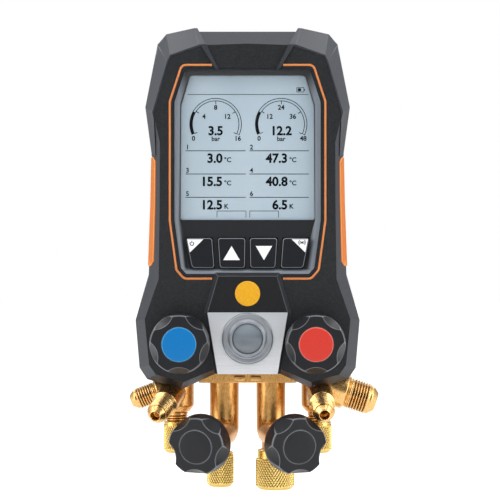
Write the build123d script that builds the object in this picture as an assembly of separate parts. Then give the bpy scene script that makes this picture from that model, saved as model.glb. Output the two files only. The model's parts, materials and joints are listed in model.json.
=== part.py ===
"""Four-valve digital refrigerant manifold gauge, hung from a hook that folds out of its back.

Millimetres. +X is the reader's right, +Z is up and the display faces -Y. The origin is on the
hook's pivot, on the centre line, so the housing hangs below it and the valve knobs reach forward.
"""
import os
from math import cos, pi, radians, sin, sqrt, tan

from build123d import *

# ---- driving dimensions: housing ----------------------------------------------------------
BACK_Y = 4.0             # back plane of the housing
PARTING_Y = -18.0        # plane where the front and rear shells meet
SHOULDER_Y = -38.0       # where the side walls turn into the front slope
FRONT_Y = -47.0          # flat front face
BACK_SLOPE = 7.0         # depth of the sloped edge round the back
BACK_INSET = 5.0         # how far that slope leans inwards
WALL = 2.4               # wall of both shells
LIP = 1.2                # tongue that locates the rear shell in the front one
LIP_GAP = 0.15
# right half of the side outline, from the top down to the bottom: half-width, height
SIDE_OUTLINE = [(0, 20.4), (26.5, 20.4), (39.6, 17.5), (43.3, 13.2), (49.3, -17.5), (47.6, -40.5),
                (48.1, -66), (49.4, -101), (56.0, -123.7), (54, -147.5), (50.2, -153.2),
                (33, -158.4), (15.8, -150.3), (0, -150.3)]
# right half of the edge of the flat front, with the same corners
FRONT_OUTLINE = [(0, 13.4), (24, 12.6), (38.2, 7.5), (39.6, 4.6), (46.9, -20.5), (43.4, -35.5),
                 (43.5, -66), (44, -103), (50.9, -123), (48.7, -145.6), (45.4, -150.3),
                 (31.5, -154), (15.8, -147.5), (0, -147.5)]

# ---- corner bumpers and side grips --------------------------------------------------------
BUMPER = 1.8             # how far a bumper stands off the side walls
BUMPER_FOOT = 0.4        # the same at its lower tips, where it thins out
BUMPER_FOOT_Z = -30.0    # corners of the outline below this have the foot's thickness
BUMPER_FRONT = 0.25      # how far it stands off the flat front
BUMPER_EDGE = 0.35       # and off the edge between the slope and the flat front
BUMPER_BACK_Y = -4.0     # rear edge of the bumpers
# what a bumper covers, seen from the front: its slanted inner end, a wedge that runs onto the
# front, its edge along the front, and its lower tip on the side
BUMPER_REGION = [(25.8, 60), (25.8, 23.5), (20.0, 12.3), (14.1, 0.3), (16.0, 1.2), (22.9, 12.3),
                 (38.0, 7.3), (39.4, 4.6), (46.5, -20.5), (45.8, -41.8), (70, -41.8), (70, 60)]
BUMPER_WEDGE = [(20.4, 13.1), (14.1, 0.3), (16.0, 1.2), (22.9, 12.3)]
WEDGE_PROUD = 0.9        # how far the wedge stands off the flat front
GRIP_PROUD = 0.6         # how far a side grip stands off the wall
GRIP_TOP_Z = -42.4
GRIP_BOTTOM_Z = -96.7
GRIP_FRONT_Y = -42.5      # on the front slope, so the grips are seen from the front
GRIP_BACK_Y = -9.0
GRIP_SLANT = 2.5         # the ends of a grip are cut at a slant
GRIP_DEEP = 0.8          # depth of the recess that a grip is glued in

# ---- display ------------------------------------------------------------------------------
# right half of the coloured line round the display: half-width, height
TRIM_OUTLINE = [(0, 2.9), (32.6, 2.9), (38.5, -15.2), (38.5, -74.2), (35.2, -98.6),
                (31.4, -102.9), (0, -102.9)]
TRIM_WIDE = 1.3
TRIM_CORNER = 3.2        # radius of the line's corners, at its middle
TRIM_DEEP = 1.4
TRIM_GAP_HALF = 17.6     # half of the break in the line at the middle of the top and bottom
BEZEL_MARGIN = 1.5       # from the middle of the coloured line to the bezel's opening
BEZEL_FIT = 0.15
BEZEL_BACK_Y = -40.0
BEZEL_FLOOR_Y = -43.6    # floor of the dished bezel, level with the top of the window
BEZEL_RIM = 0.7          # flat rim before the dish slopes down
DISH_WALL = 3.2          # how far the dish's sloped side leans in
WINDOW_OUTLINE = [(0, -1.9), (28.4, -1.9), (33.0, -17.1), (33.3, -73.7), (0, -73.7)]
WINDOW_FIT = 0.1
LCD_OVERLAP = 1.6        # how far the display module reaches past its window
LCD_THICK = 4.6
# ---- keys ---------------------------------------------------------------------------------
KEY_TOP_Z = -82.8
KEY_BOTTOM_Z = -97.6
# inner and outer edges of the two right-hand keys: top inner, top outer, bottom outer, bottom inner
KEY_NEAR = (1.15, 14.7, 13.7, 1.35)
KEY_FAR = (17.6, 30.5, 27.5, 16.5)
KEY_PROUD = 2.2          # height of a key above the floor of the bezel
KEY_CORNER = 1.2
KEY_BEVEL = 0.35
KEY_GAP = 0.3            # gap round a key in its opening
KEY_TRAVEL = 0.8
KEY_FLANGE = 0.7         # width of the ledge that keeps a key in
KEY_FLANGE_FILL = 0.9    # share of that width that the key's own flange takes
KEY_FLANGE_THICK = 0.9
KEY_POCKET = 1.8         # depth of the pocket behind the bezel that the flanges move in
KEYS = {"key_back": (-1, KEY_FAR), "key_up": (-1, KEY_NEAR), "key_down": (1, KEY_NEAR),
        "key_enter": (1, KEY_FAR)}
MAT_THICK = 1.5
MAT_GAP = 0.1
MAT_MARGIN = 2.0
# ---- circuit board ------------------------------------------------------------------------
BOARD_HALF = 44.0        # half the board's width at its mounting ears
BOARD_CORE_HALF = 36.0
BOARD_TOP_Z = 3.0
BOARD_BOTTOM_Z = -104.0
BOARD_FRONT_Y = -33.0
BOARD_THICK = 1.6
BOARD_POST_X = 41.3
BOARD_POST_Z = (-22.0, -92.0)
BOARD_POST_R = 2.6
BOARD_EAR_MARGIN = 1.0
# parts on the back of the board: x, z, width, height, thickness
BOARD_PARTS = [(0, -30, 14, 14, 1.4), (-20, -45, 9, 6, 1.2), (18, -20, 8, 12, 2.6),
               (-18, -90, 12, 5, 4.0), (18, -90, 12, 5, 4.0)]
# ---- centre cover, badge and face plate ---------------------------------------------------
COVER_TOP_Z = -101.6
COVER_TOP_HALF = 14.6
PLATE_TOP_Z = -119.5
PLATE_TOP_HALF = 19.8
PLATE_BOTTOM_Z = -149.9
PLATE_BOTTOM_HALF = 14.8
PLATE_THICK = 1.2
PLATE_CORNER = 0.3
COVER_PROUD = 3.2        # how far the cover stands off the flat front
COVER_SLOPE = 1.8        # width of the sloped edge round the cover
COVER_COLLAR_GAP = 0.2   # between the cover and the collars of the upper valves
DISC_Z = -110.2
DISC_R = 6.2
DISC_THICK = 1.0
DISC_PROUD = 0.25
DISC_BEVEL = 0.2
# ---- sight glass --------------------------------------------------------------------------
SIGHT_Z = -132.4
SIGHT_R = 12.4
SIGHT_GAP = 0.2
SIGHT_PROUD = 2.2        # height of the ring above the face plate
SIGHT_RIM = 1.0          # height of the ring's outer edge above the face plate
SIGHT_BEVEL = 0.4
SIGHT_DISH = 0.3         # how far the ring's flange rises towards its bead
LENS_R = 7.6
LENS_THICK = 4.0
LENS_SUNK = 0.7
LENS_FLAT_R = 5.3        # flat middle of the lens
LENS_CROWN = 0.4
BEAD_R = 8.7             # inner bead of the ring, round the lens
BEAD_SLOPE = 0.5
SEAL_THICK = 0.8
SIGHT_BORE_R = 6.4
# ---- brass block and its four hanging bodies ----------------------------------------------
BLOCK_Y = -25.0          # plane of the block's hanging bodies
BLOCK_HALF_DEEP = 11.0
BLOCK_TOP_Z = -121.0
BLOCK_BOTTOM_Z = -149.0
BAR_HALF = 24.6
BAR_BOTTOM_Z = -155.4
BAR_HALF_DEEP = 9.5
CLIP_X = 4.0             # small hooked lugs under the middle of the block
CLIP_WIDE = 5.2
CLIP_THICK = 1.2
GALLERY_Y = -20.5
GALLERY_R = 2.2
PASSAGE_R = 2.4
OUTER_X = 35.8
OUTER_R = 8.5
BLOCK_HALF = OUTER_X + OUTER_R      # the block ends with its outer bodies
OUTER_BOTTOM_Z = -167.5
OUTER_SHOULDER = 3.0
INNER_X = 11.8
INNER_R = 7.3
INNER_ROUND_Z = -179.0   # centre of the rounded foot of an inner body
PORT_X = 13.9            # axis of the port below an inner body
NECK_R_SMALL = 5.1
NECK_R_LARGE = 6.7
# ---- flare threads ------------------------------------------------------------------------
SMALL_THREAD_R = 5.556   # 7/16-20 UNF
LARGE_THREAD_R = 7.9375  # 5/8-18 UNF
SMALL_BORE_R = 2.3
LARGE_BORE_R = 4.3
SMALL_THREAD_LONG = 9.0
LARGE_THREAD_LONG = 10.5
NOSE_ANGLE = 45.0        # half angle of the flare seat
NOSE_LAND = 0.4          # flat ring round the bore at the tip
RELIEF_LONG = 1.2        # plain relief between the thread and the seat
RELIEF_DEEP = 0.7
NOSE_STEP = 0.4          # how far the seat's root stands above the relief
COLLAR_R_SMALL = 6.6
COLLAR_R_LARGE = 8.9
SIDE_LEFT_REACH = 24.6   # from the body's axis to the flare's tip
SIDE_LEFT_DROP = 20.0    # degrees below level
SIDE_LEFT_Z = -156.9
SIDE_RIGHT_REACH = 30.6
SIDE_RIGHT_DROP = 18.5
SIDE_RIGHT_Z = -156.0
FRONT_Z = -158.6
FRONT_LEFT_REACH = 34.0
FRONT_LEFT_DROP = 20.0
FRONT_LEFT_TURN = 17.5   # degrees that the left front flare turns outwards
FRONT_RIGHT_REACH = 36.5
FRONT_RIGHT_DROP = 17.0
FRONT_RIGHT_TURN = 3.0
FITTING_GAP = 0.8        # room left in the housing round a fitting
# ---- valves: distances along a valve's axis, from the centre of its body -------------------
UPPER_X = 33.1
UPPER_Z = -134.3
UPPER_FACE = 45.0
LOWER_Z = -180.3
LOWER_FACE = 43.5
LOWER_TURN = 18.0        # degrees that the lower valves turn outwards
LOWER_DROP = 5.0         # and downwards
BOSS_R = 7.2
BOSS_END = 17.0
PISTON_R = 4.45
FIT = 0.05               # radial running clearance
PISTON_START = 2.5
PISTON_LONG = 9.5
PISTON_CONE = 1.6
SEAT_R = 1.9
STEM_R = 2.5
STEM_START = 9.0
STEM_COLLAR_R = 4.1
STEM_COLLAR_START = 15.0
STEM_COLLAR_THICK = 1.8
SHAFT_R = 3.5
PISTON_SOCKET = 3.5      # depth of solid left at the seat end of the piston
NUT_R = 6.5
NUT_THICK = 4.2
KNOB_R = 14.7            # widest, behind the lobes
KNOB_FACE_R = 14.1
KNOB_BACK_R = 12.2
KNOB_THICK = 14.0
KNOB_WIDEST = 6.0        # height of the widest ring above the knob's back
KNOB_BAND = 2.0          # straight part below that ring
KNOB_NECK_R = 6.2
KNOB_NECK = 4.0
KNOB_EDGE = 0.6
LOBES = 5
SCALLOP_R = 9.3
SCALLOP_DEEP_R = 11.0    # distance from the axis to a scallop's bottom at the face
SCALLOP_FADE = 8.2       # depth over which a scallop runs out
SCALLOP_LEAD = 4.0       # how far a scallop's cutter starts in front of the face
CAP_R = 8.3
CAP_GAP = 0.15
CAP_SUNK = 1.6
CAP_PROUD = 0.3
CAP_BEVEL = 0.4
SHAFT_IN_KNOB = 9.0
COLLAR_OUT_R = 10.5      # raised collar of the housing round an upper valve
COLLAR_IN_R = 7.6
COLLAR_PROUD = 2.5
# ---- sealing caps -------------------------------------------------------------------------
SCREW_CAP_WALL = 1.25
SCREW_CAP_FLOOR = 2.4
SCREW_CAP_BEVEL = 1.5
SMALL_CAP_LIP = 1.6
LARGE_CAP_LIP = 4.4
LARGE_CAP_WALL = 1.9
LARGE_LIP_STEP = 0.9
SMALL_LIP_STEP = 0.3
OUTER_CAP_TOP_Z = -175.4
OUTER_CAP_LONG = 15.8
INNER_CAP_TOP_Z = -190.8
INNER_CAP_LONG = 17.6
LARGE_CAP_TOP_Z = -189.8
LARGE_CAP_LONG = 19.8
PORT_SHOWN = 4.6         # thread seen above an outer cap
PORT_END_GAP = 0.4       # between the end of a port and the floor of its cap
# ---- hook ---------------------------------------------------------------------------------
HOOK_THICK = 3.0
HOOK_HALF = 10.5
HOOK_EYE_R = 7.0
HOOK_EYE_DROP = 36.5     # from the pivot to the centre of the eye
HOOK_MOUTH = 8.0         # height of the mouth at the side of the eye
HOOK_STEM_HALF = 5.0
BARREL_R = 3.0
PIN_R = 1.5
EAR_WIDE = 4.0
HOOK_SIDE_GAP = 0.4
RECESS_GAP = 1.2         # room round the folded hook
RECESS_FLOOR_GAP = 0.5
# ---- batteries ----------------------------------------------------------------------------
CELL_R = 7.25
CELL_LONG = 50.5
CELL_COUNT = 4
CELL_PITCH = 14.9
CELL_Y = -4.4
CELL_BUTTON_R = 2.75
CELL_BUTTON = 1.5
TRAY_WALL = 1.2
TRAY_TOP_Z = -57.0
CONTACT_ROOM = 4.0       # room for the contacts, both ends together
CONTACT_HALF = 3.0
TRAY_GAP = 0.25
DOOR_THICK = 2.4
DOOR_MARGIN = 2.0
DOOR_SEAT = 0.8
DOOR_FIT = 0.25
DOOR_BEVEL = 0.8
DOOR_PLUG_WALL = 2.0
DOOR_GROOVES = (6.0, 9.0, 12.0)      # finger grooves, below the top of the bay
DOOR_GROOVE_HALF = 9.0
DOOR_GROOVE_WIDE = 1.2
DOOR_GROOVE_DEEP = 0.6
# ---- screws and sensors -------------------------------------------------------------------
SCREW_POINTS = [(31.0, 9.3), (40.5, -48.0), (45.5, -116.5)]
BLOCK_SCREW_POINTS = [(15.0, -139.0)]
SCREW_R = 1.5
SCREW_HEAD_R = 2.9
SCREW_HEAD = 2.2
SCREW_LONG = 26.0
SCREW_BOSS_R = 3.8
SCREW_SUNK = 5.0         # depth of the head below the back face
SCREW_HEAD_GAP = 0.3     # round a head in its bore
SCREW_SLOT = (1.6, 0.4)  # half length and half width of a slot of the cross
SCREW_SLOT_DEEP = 1.2
BLOCK_SCREW_DEEP = SCREW_LONG - (BACK_Y - SCREW_SUNK - BLOCK_Y - BLOCK_HALF_DEEP)
SENSOR_R = 7.5
SENSOR_X = 20.0
SENSOR_LONG = 12.5
SENSOR_BODY_LONG = 8.75
PLUG_R = 4.5
# ---- cutting blocks -----------------------------------------------------------------------
BEYOND = 300.0           # reach of a cutter that only has to pass right through
OVER = 1.0               # how far cutters and fused pieces run past a face


# ---- helpers ------------------------------------------------------------------------------
def mirrored(half):
    """A closed outline from its right half, which starts and ends on the centre line."""
    return list(half) + [(-x, z) for x, z in reversed(half) if x > 0]


def area_sign(points):
    """+1 for an outline listed anticlockwise, -1 for a clockwise one."""
    pairs = zip(points, points[1:] + points[:1])
    return 1 if sum(x0 * z1 - x1 * z0 for (x0, z0), (x1, z1) in pairs) > 0 else -1


def inset(points, distance):
    """Moves each side of a closed outline inwards by the distance, keeping its corners."""
    sign = area_sign(points)
    sides = []
    for (x0, z0), (x1, z1) in zip(points, points[1:] + points[:1]):
        long = sqrt((x1 - x0) ** 2 + (z1 - z0) ** 2)
        normal = (-sign * (z1 - z0) / long, sign * (x1 - x0) / long)
        sides.append((x0 + distance * normal[0], z0 + distance * normal[1], x1 - x0, z1 - z0))
    moved = []
    for (ax, az, au, aw), (bx, bz, bu, bw) in zip(sides[-1:] + sides[:-1], sides):
        cross = au * bw - aw * bu
        if abs(cross) < 1e-9:
            moved.append((bx, bz))
            continue
        step = ((bx - ax) * bw - (bz - az) * bu) / cross
        moved.append((ax + step * au, az + step * aw))
    return moved


def wire_at(points, y):
    """An outline of (x, z) corners as a wire in the plane at y."""
    return Wire.make_polygon([Vector(x, y, z) for x, z in points], close=True)


def lofted(*sections):
    """A flat-sided solid through (outline, y) sections that have the same corners."""
    return Solid.make_loft([wire_at(points, y) for points, y in sections], ruled=True)


def plate(points, y0, y1, corner=0):
    """An outline carried straight from y0 to y1, with rounded corners off the centre line."""
    face = Face(wire_at(points, min(y0, y1)))
    solid = Solid.extrude(face, Vector(0, abs(y1 - y0), 0))
    if corner:
        edges = [e for e in solid.edges().filter_by(Axis.Y) if abs(e.center().X) > 1e-6]
        solid = solid.fillet(corner, edges)
    return solid


def box(x0, x1, y0, y1, z0, z1):
    """A box between two values along each axis."""
    corner = Plane(origin=(min(x0, x1), min(y0, y1), min(z0, z1)))
    return Solid.make_box(abs(x1 - x0), abs(y1 - y0), abs(z1 - z0), corner)


def along(origin, direction, x_dir=(1, 0, 0)):
    """A plane whose Z runs along a fitting's axis."""
    return Plane(origin=origin, x_dir=x_dir, z_dir=direction)


def turned(plane, *profile):
    """A turned solid from (radius, height) points along the plane's Z."""
    points = [(0, profile[0][1]), *profile, (0, profile[-1][1])]
    wire = Wire.make_polygon([Vector(r, 0, h) for r, h in points], close=True)
    return Solid.revolve(Face(wire), 360, Axis.Z).moved(plane.location)


def rod(plane, radius, start, end):
    """A round bar between two heights along the plane's Z."""
    return turned(plane, (radius, start), (radius, end))


def mirror_x(solid):
    """The same piece on the other side of the centre line."""
    return solid.mirror(Plane.YZ)


def joined(first, *others):
    """One solid from pieces that touch."""
    whole = first
    for other in others:
        whole = whole + other
    return whole


def less(first, *others):
    """A solid with others taken away."""
    rest = first
    for other in others:
        rest = rest - other
    return rest


def save(name, shape):
    """Writes one node, whatever number of solids it holds."""
    export_step(Compound(shape) if isinstance(shape, list) else shape, f"parts/{name}.step")


# ---- axes of the fittings -----------------------------------------------------------------
def facing(turn, drop):
    """A direction that points forward, turned outwards to the right and dropped."""
    return (sin(radians(turn)) * cos(radians(drop)), -cos(radians(turn)) * cos(radians(drop)),
            -sin(radians(drop)))


def valve_axis(name):
    """The plane of a valve: its origin in the body and its Z towards the knob."""
    side = -1 if name.endswith("left") else 1
    if name.startswith("upper"):
        return along((side * UPPER_X, BLOCK_Y, UPPER_Z), (0, -1, 0))
    return along((side * INNER_X, BLOCK_Y, LOWER_Z), facing(side * LOWER_TURN, LOWER_DROP))


VALVES = {"upper_left": UPPER_FACE, "upper_right": UPPER_FACE,
          "lower_left": LOWER_FACE, "lower_right": LOWER_FACE}

FLARES = {
    "flare_side_left": (along((-OUTER_X, BLOCK_Y, SIDE_LEFT_Z),
                              (-cos(radians(SIDE_LEFT_DROP)), 0, -sin(radians(SIDE_LEFT_DROP))),
                              (0, 1, 0)), SIDE_LEFT_REACH, False),
    "flare_front_left": (along((-OUTER_X, BLOCK_Y, FRONT_Z),
                               facing(-FRONT_LEFT_TURN, FRONT_LEFT_DROP)), FRONT_LEFT_REACH, False),
    "flare_front_right": (along((OUTER_X, BLOCK_Y, FRONT_Z),
                                facing(FRONT_RIGHT_TURN, FRONT_RIGHT_DROP)),
                          FRONT_RIGHT_REACH, False),
    "flare_side_right": (along((OUTER_X, BLOCK_Y, SIDE_RIGHT_Z),
                               (cos(radians(SIDE_RIGHT_DROP)), 0, -sin(radians(SIDE_RIGHT_DROP))),
                               (0, 1, 0)), SIDE_RIGHT_REACH, True),
}

# port: axis x, top of its cap, length of its cap, whether it is the large thread
PORTS = {
    "outer_left": (-OUTER_X, OUTER_CAP_TOP_Z, OUTER_CAP_LONG, False),
    "inner_left": (-PORT_X, INNER_CAP_TOP_Z, INNER_CAP_LONG, False),
    "inner_right": (PORT_X, LARGE_CAP_TOP_Z, LARGE_CAP_LONG, True),
    "outer_right": (OUTER_X, OUTER_CAP_TOP_Z, OUTER_CAP_LONG, False),
}


def thread_r(large):
    return LARGE_THREAD_R if large else SMALL_THREAD_R


def bore_r(large):
    return LARGE_BORE_R if large else SMALL_BORE_R


def collar_r(large):
    return COLLAR_R_LARGE if large else COLLAR_R_SMALL


def nose_long(large):
    """Length of the coned seat, from its root down to the land round the bore."""
    root = thread_r(large) - RELIEF_DEEP + NOSE_STEP
    return (root - bore_r(large) - NOSE_LAND) / tan(radians(NOSE_ANGLE))


# ---- brass fittings -----------------------------------------------------------------------
def flare(plane, reach, large):
    """A male flare fitting: collar, thread cylinder, relief and a coned seat, with its bore."""
    radius, nose = thread_r(large), nose_long(large)
    long = LARGE_THREAD_LONG if large else SMALL_THREAD_LONG
    collar, bore = collar_r(large), bore_r(large)
    seat = reach - nose - RELIEF_LONG
    start = seat - long
    return less(
        turned(plane, (collar, 0), (collar, start - RELIEF_LONG), (radius, start), (radius, seat),
               (radius - RELIEF_DEEP, seat), (radius - RELIEF_DEEP, reach - nose),
               (radius - RELIEF_DEEP + NOSE_STEP, reach - nose), (bore + NOSE_LAND, reach)),
        rod(plane, bore, 0, reach))


def flare_solids():
    """The four open flares, cut back to the bodies that they are screwed into."""
    return {name: flare(*spec) for name, spec in FLARES.items()}


def port_plane(name):
    x, top = PORTS[name][:2]
    return along((x, BLOCK_Y, top), (0, 0, -1))


def port_end(name):
    """Distance from the top of a cap down to the end of the port inside it."""
    return PORTS[name][2] - SCREW_CAP_FLOOR - PORT_END_GAP


def outer_body(name):
    """The body under a pod: a round bar with a shoulder, and a threaded port under it."""
    x, top = PORTS[name][:2]
    plane = along((x, BLOCK_Y, 0), (0, 0, -1))
    end = -top + port_end(name)
    thread = -top - PORT_SHOWN
    return less(
        turned(plane, (OUTER_R, -BLOCK_BOTTOM_Z), (OUTER_R, -OUTER_BOTTOM_Z),
               (SMALL_THREAD_R + RELIEF_DEEP, -OUTER_BOTTOM_Z + OUTER_SHOULDER),
               (SMALL_THREAD_R - RELIEF_DEEP, -OUTER_BOTTOM_Z + OUTER_SHOULDER),
               (SMALL_THREAD_R - RELIEF_DEEP, thread), (SMALL_THREAD_R, thread),
               (SMALL_THREAD_R, end - RELIEF_LONG), (SMALL_THREAD_R - RELIEF_LONG, end)),
        rod(plane, PASSAGE_R, -BLOCK_BOTTOM_Z, end))


def inner_body(name, valve):
    """A hanging body with a rounded foot, a slanted valve boss and a threaded port below."""
    x, top, _, large = PORTS[name]
    side = -1 if x < 0 else 1
    bar = along((side * INNER_X, BLOCK_Y, 0), (0, 0, -1))
    port = along((x, BLOCK_Y, 0), (0, 0, -1))
    radius, neck = thread_r(large), NECK_R_LARGE if large else NECK_R_SMALL
    end = -top + port_end(name)
    foot = Solid.make_sphere(INNER_R, angle1=-90, angle2=90).moved(
        Location((side * INNER_X, BLOCK_Y, INNER_ROUND_Z)))
    axis = valve_axis(valve)
    body = joined(
        rod(bar, INNER_R, -BAR_BOTTOM_Z, -INNER_ROUND_Z), foot,
        turned(port, (neck, -INNER_ROUND_Z), (neck, -top - RELIEF_LONG), (radius, -top),
               (radius, end - RELIEF_LONG), (radius - RELIEF_LONG, end)),
        rod(axis, BOSS_R, 0, BOSS_END))
    return less(body, rod(port, PASSAGE_R, -LOWER_Z, end), rod(bar, PASSAGE_R, -BAR_BOTTOM_Z,
                -LOWER_Z), *valve_bores(axis))


def valve_bores(axis):
    """The bore that a piston runs in, and the seat hole behind it."""
    return (rod(axis, PISTON_R + FIT, PISTON_START - PISTON_CONE, BOSS_END),
            rod(axis, SEAT_R, 0, PISTON_START))


def clip(side):
    """A small hooked lug under the middle of the block."""
    x = side * CLIP_X
    foot = BAR_BOTTOM_Z + CLIP_THICK
    return box(x - side * CLIP_WIDE / 2, x + side * CLIP_WIDE / 2, BLOCK_Y - BAR_HALF_DEEP,
               BLOCK_Y - BAR_HALF_DEEP - CLIP_THICK, foot, foot + 2 * CLIP_THICK)


def block_bar():
    return box(-BLOCK_HALF, BLOCK_HALF, BLOCK_Y - BLOCK_HALF_DEEP, BLOCK_Y + BLOCK_HALF_DEEP,
               BLOCK_BOTTOM_Z, BLOCK_TOP_Z)


def valve_block():
    """The brass block: a bar with two valve bosses in front, drilled for its passages."""
    body = joined(
        block_bar(),
        box(-BAR_HALF, BAR_HALF, BLOCK_Y - BAR_HALF_DEEP, BLOCK_Y + BAR_HALF_DEEP,
            BAR_BOTTOM_Z, BLOCK_BOTTOM_Z + OVER),
        *[rod(valve_axis(name), BOSS_R, 0, BOSS_END) for name in ("upper_left", "upper_right")],
        clip(-1), clip(1))
    gallery = along((-OUTER_X, GALLERY_Y, UPPER_Z), (1, 0, 0), (0, 1, 0))
    ends = ((OUTER_X, BLOCK_BOTTOM_Z), (INNER_X, BAR_BOTTOM_Z))
    drops = [rod(along((side * x, BLOCK_Y, 0), (0, 0, -1)), PASSAGE_R, -UPPER_Z, -bottom)
             for side in (-1, 1) for x, bottom in ends]
    eye = along((0, BLOCK_Y, SIGHT_Z), (0, -1, 0))
    sensors = [rod(along((side * SENSOR_X, BLOCK_Y, 0), (0, 0, 1)), GALLERY_R, UPPER_Z, BLOCK_TOP_Z)
               for side in (-1, 1)]
    seats = [rod(along((side * UPPER_X, GALLERY_Y, UPPER_Z), (0, -1, 0)), SEAT_R, 0,
                 GALLERY_Y - BLOCK_Y + PISTON_START) for side in (-1, 1)]
    bores = [valve_bores(valve_axis(name))[0] for name in ("upper_left", "upper_right")]
    return less(body, rod(gallery, GALLERY_R, 0, 2 * OUTER_X), *drops, *sensors, *seats, *bores,
                rod(eye, SIGHT_BORE_R, 0, BLOCK_HALF_DEEP), *block_screw_holes())


def block_screw_holes():
    back = BLOCK_Y + BLOCK_HALF_DEEP
    return [rod(along((side * x, back, z), (0, -1, 0)), SCREW_R, 0, BLOCK_SCREW_DEEP)
            for side in (-1, 1) for x, z in BLOCK_SCREW_POINTS]


# ---- valves -------------------------------------------------------------------------------
def piston(axis):
    """The valve piston: a coned plug with a socket that the stem screws into."""
    start, end = PISTON_START, PISTON_START + PISTON_LONG
    return less(
        turned(axis, (SEAT_R, start - PISTON_CONE + FIT), (PISTON_R, start + FIT), (PISTON_R, end)),
        rod(axis, STEM_R + FIT, start + PISTON_SOCKET, end))


def spindle(axis, face):
    """The spindle: a stem in the piston, a collar under the gland nut and a shaft to the knob."""
    top = face - KNOB_THICK + SHAFT_IN_KNOB
    collar = STEM_COLLAR_START + STEM_COLLAR_THICK
    return turned(axis, (STEM_R, STEM_START), (STEM_R, STEM_COLLAR_START),
                  (STEM_COLLAR_R, STEM_COLLAR_START), (STEM_COLLAR_R, collar),
                  (SHAFT_R, collar), (SHAFT_R, top))


def gland_nut(axis):
    """The six-sided nut that holds a spindle in its boss."""
    corners = [Vector(NUT_R * cos(pi * k / 3), NUT_R * sin(pi * k / 3), BOSS_END) for k in range(6)]
    hexagon = Face(Wire.make_polygon(corners, close=True))
    nut = Solid.extrude(hexagon, Vector(0, 0, NUT_THICK)).moved(axis.location)
    return less(nut, rod(axis, SHAFT_R + FIT, BOSS_END, BOSS_END + NUT_THICK))


def scallop(angle):
    """A leaning round cutter that takes a finger scallop out of a knob's rim."""
    lean = (KNOB_R - SCALLOP_DEEP_R) / SCALLOP_FADE
    out = Vector(cos(angle), sin(angle), 0)
    start = out * (SCALLOP_DEEP_R + SCALLOP_R) + Vector(0, 0, KNOB_THICK)
    down = out * lean - Vector(0, 0, 1)
    side = Vector(-sin(angle), cos(angle), 0)
    plane = Plane(origin=start - down * SCALLOP_LEAD, x_dir=side, z_dir=down)
    return Solid.make_cylinder(SCALLOP_R, 4 * KNOB_THICK, plane)


def knob(axis, face):
    """A five-lobed hand knob with a neck behind it and a round pocket for its cap."""
    seat = Plane(origin=axis.from_local_coords(Vector(0, 0, face - KNOB_THICK)),
                 x_dir=axis.x_dir, z_dir=axis.z_dir)
    body = turned(Plane.XY, (KNOB_NECK_R, -KNOB_NECK), (KNOB_NECK_R, 0), (KNOB_BACK_R, 0),
                  (KNOB_R, KNOB_WIDEST - KNOB_BAND), (KNOB_R, KNOB_WIDEST),
                  (KNOB_FACE_R, KNOB_THICK - KNOB_EDGE),
                  (KNOB_FACE_R - KNOB_EDGE, KNOB_THICK))
    cutters = [scallop(radians(270 + 360 * k / LOBES)) for k in range(LOBES)]
    body = less(body, *cutters, rod(Plane.XY, CAP_R + CAP_GAP, KNOB_THICK - CAP_SUNK, KNOB_THICK),
                rod(Plane.XY, SHAFT_R, -KNOB_NECK, SHAFT_IN_KNOB))
    return body.moved(seat.location)


def knob_cap(axis, face):
    """The round insert in the face of a knob."""
    bottom, top = face - CAP_SUNK, face + CAP_PROUD
    return turned(axis, (CAP_R, bottom), (CAP_R, top - CAP_BEVEL), (CAP_R - CAP_BEVEL, top))


def screw_cap(name):
    """A cup-shaped sealing cap, with its grip ring as a plain cylinder of the crest radius."""
    _, _, long, large = PORTS[name]
    plane = port_plane(name)
    bore = thread_r(large) + FIT
    outer = bore + (LARGE_CAP_WALL if large else SCREW_CAP_WALL)
    lip, step = (LARGE_CAP_LIP, LARGE_LIP_STEP) if large else (SMALL_CAP_LIP, SMALL_LIP_STEP)
    return less(
        turned(plane, (outer - step, 0), (outer - step, lip), (outer, lip),
               (outer, long - SCREW_CAP_BEVEL), (outer - SCREW_CAP_BEVEL, long)),
        rod(plane, bore, 0, long - SCREW_CAP_FLOOR))


# ---- housing ------------------------------------------------------------------------------
def side_wires(distance=0):
    return inset(mirrored(SIDE_OUTLINE), distance)


def front_solid():
    """The front shell's outer form: straight sides, then a slope up to the flat front."""
    return lofted((mirrored(FRONT_OUTLINE), FRONT_Y), (side_wires(), SHOULDER_Y),
                  (side_wires(), PARTING_Y))


def front_cavity():
    return lofted((inset(mirrored(FRONT_OUTLINE), WALL), FRONT_Y + WALL),
                  (side_wires(WALL), SHOULDER_Y), (side_wires(WALL), PARTING_Y))


def rear_solid():
    return lofted((side_wires(), PARTING_Y), (side_wires(), BACK_Y - BACK_SLOPE),
                  (side_wires(BACK_INSET), BACK_Y))


def rear_cavity():
    return lofted((side_wires(WALL), PARTING_Y), (side_wires(WALL), BACK_Y - BACK_SLOPE - WALL / 2),
                  (side_wires(BACK_INSET + WALL / 2), BACK_Y - WALL))


def fitting_room():
    """Room for everything that passes through the bottom of the housing."""
    gap = FITTING_GAP
    deep = BLOCK_HALF_DEEP + gap
    rooms = [box(-BLOCK_HALF - gap, BLOCK_HALF + gap, BLOCK_Y - deep, BLOCK_Y + deep,
                 -BEYOND, BLOCK_TOP_Z)]
    for plane, reach, large in FLARES.values():
        rooms.append(rod(plane, collar_r(large) + gap, 0, reach))
    return rooms


def both_sides(points):
    return [(side * x, z) for x, z in points for side in (-1, 1)]


def bezel_outline(extra=0):
    return inset(mirrored(TRIM_OUTLINE), BEZEL_MARGIN + extra)


def bezel_plate(y0, y1, extra=0):
    """The bezel's opening as a solid, with corners that run round inside the trim's."""
    return plate(bezel_outline(extra), y0, y1, TRIM_CORNER - BEZEL_MARGIN - extra)


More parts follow.
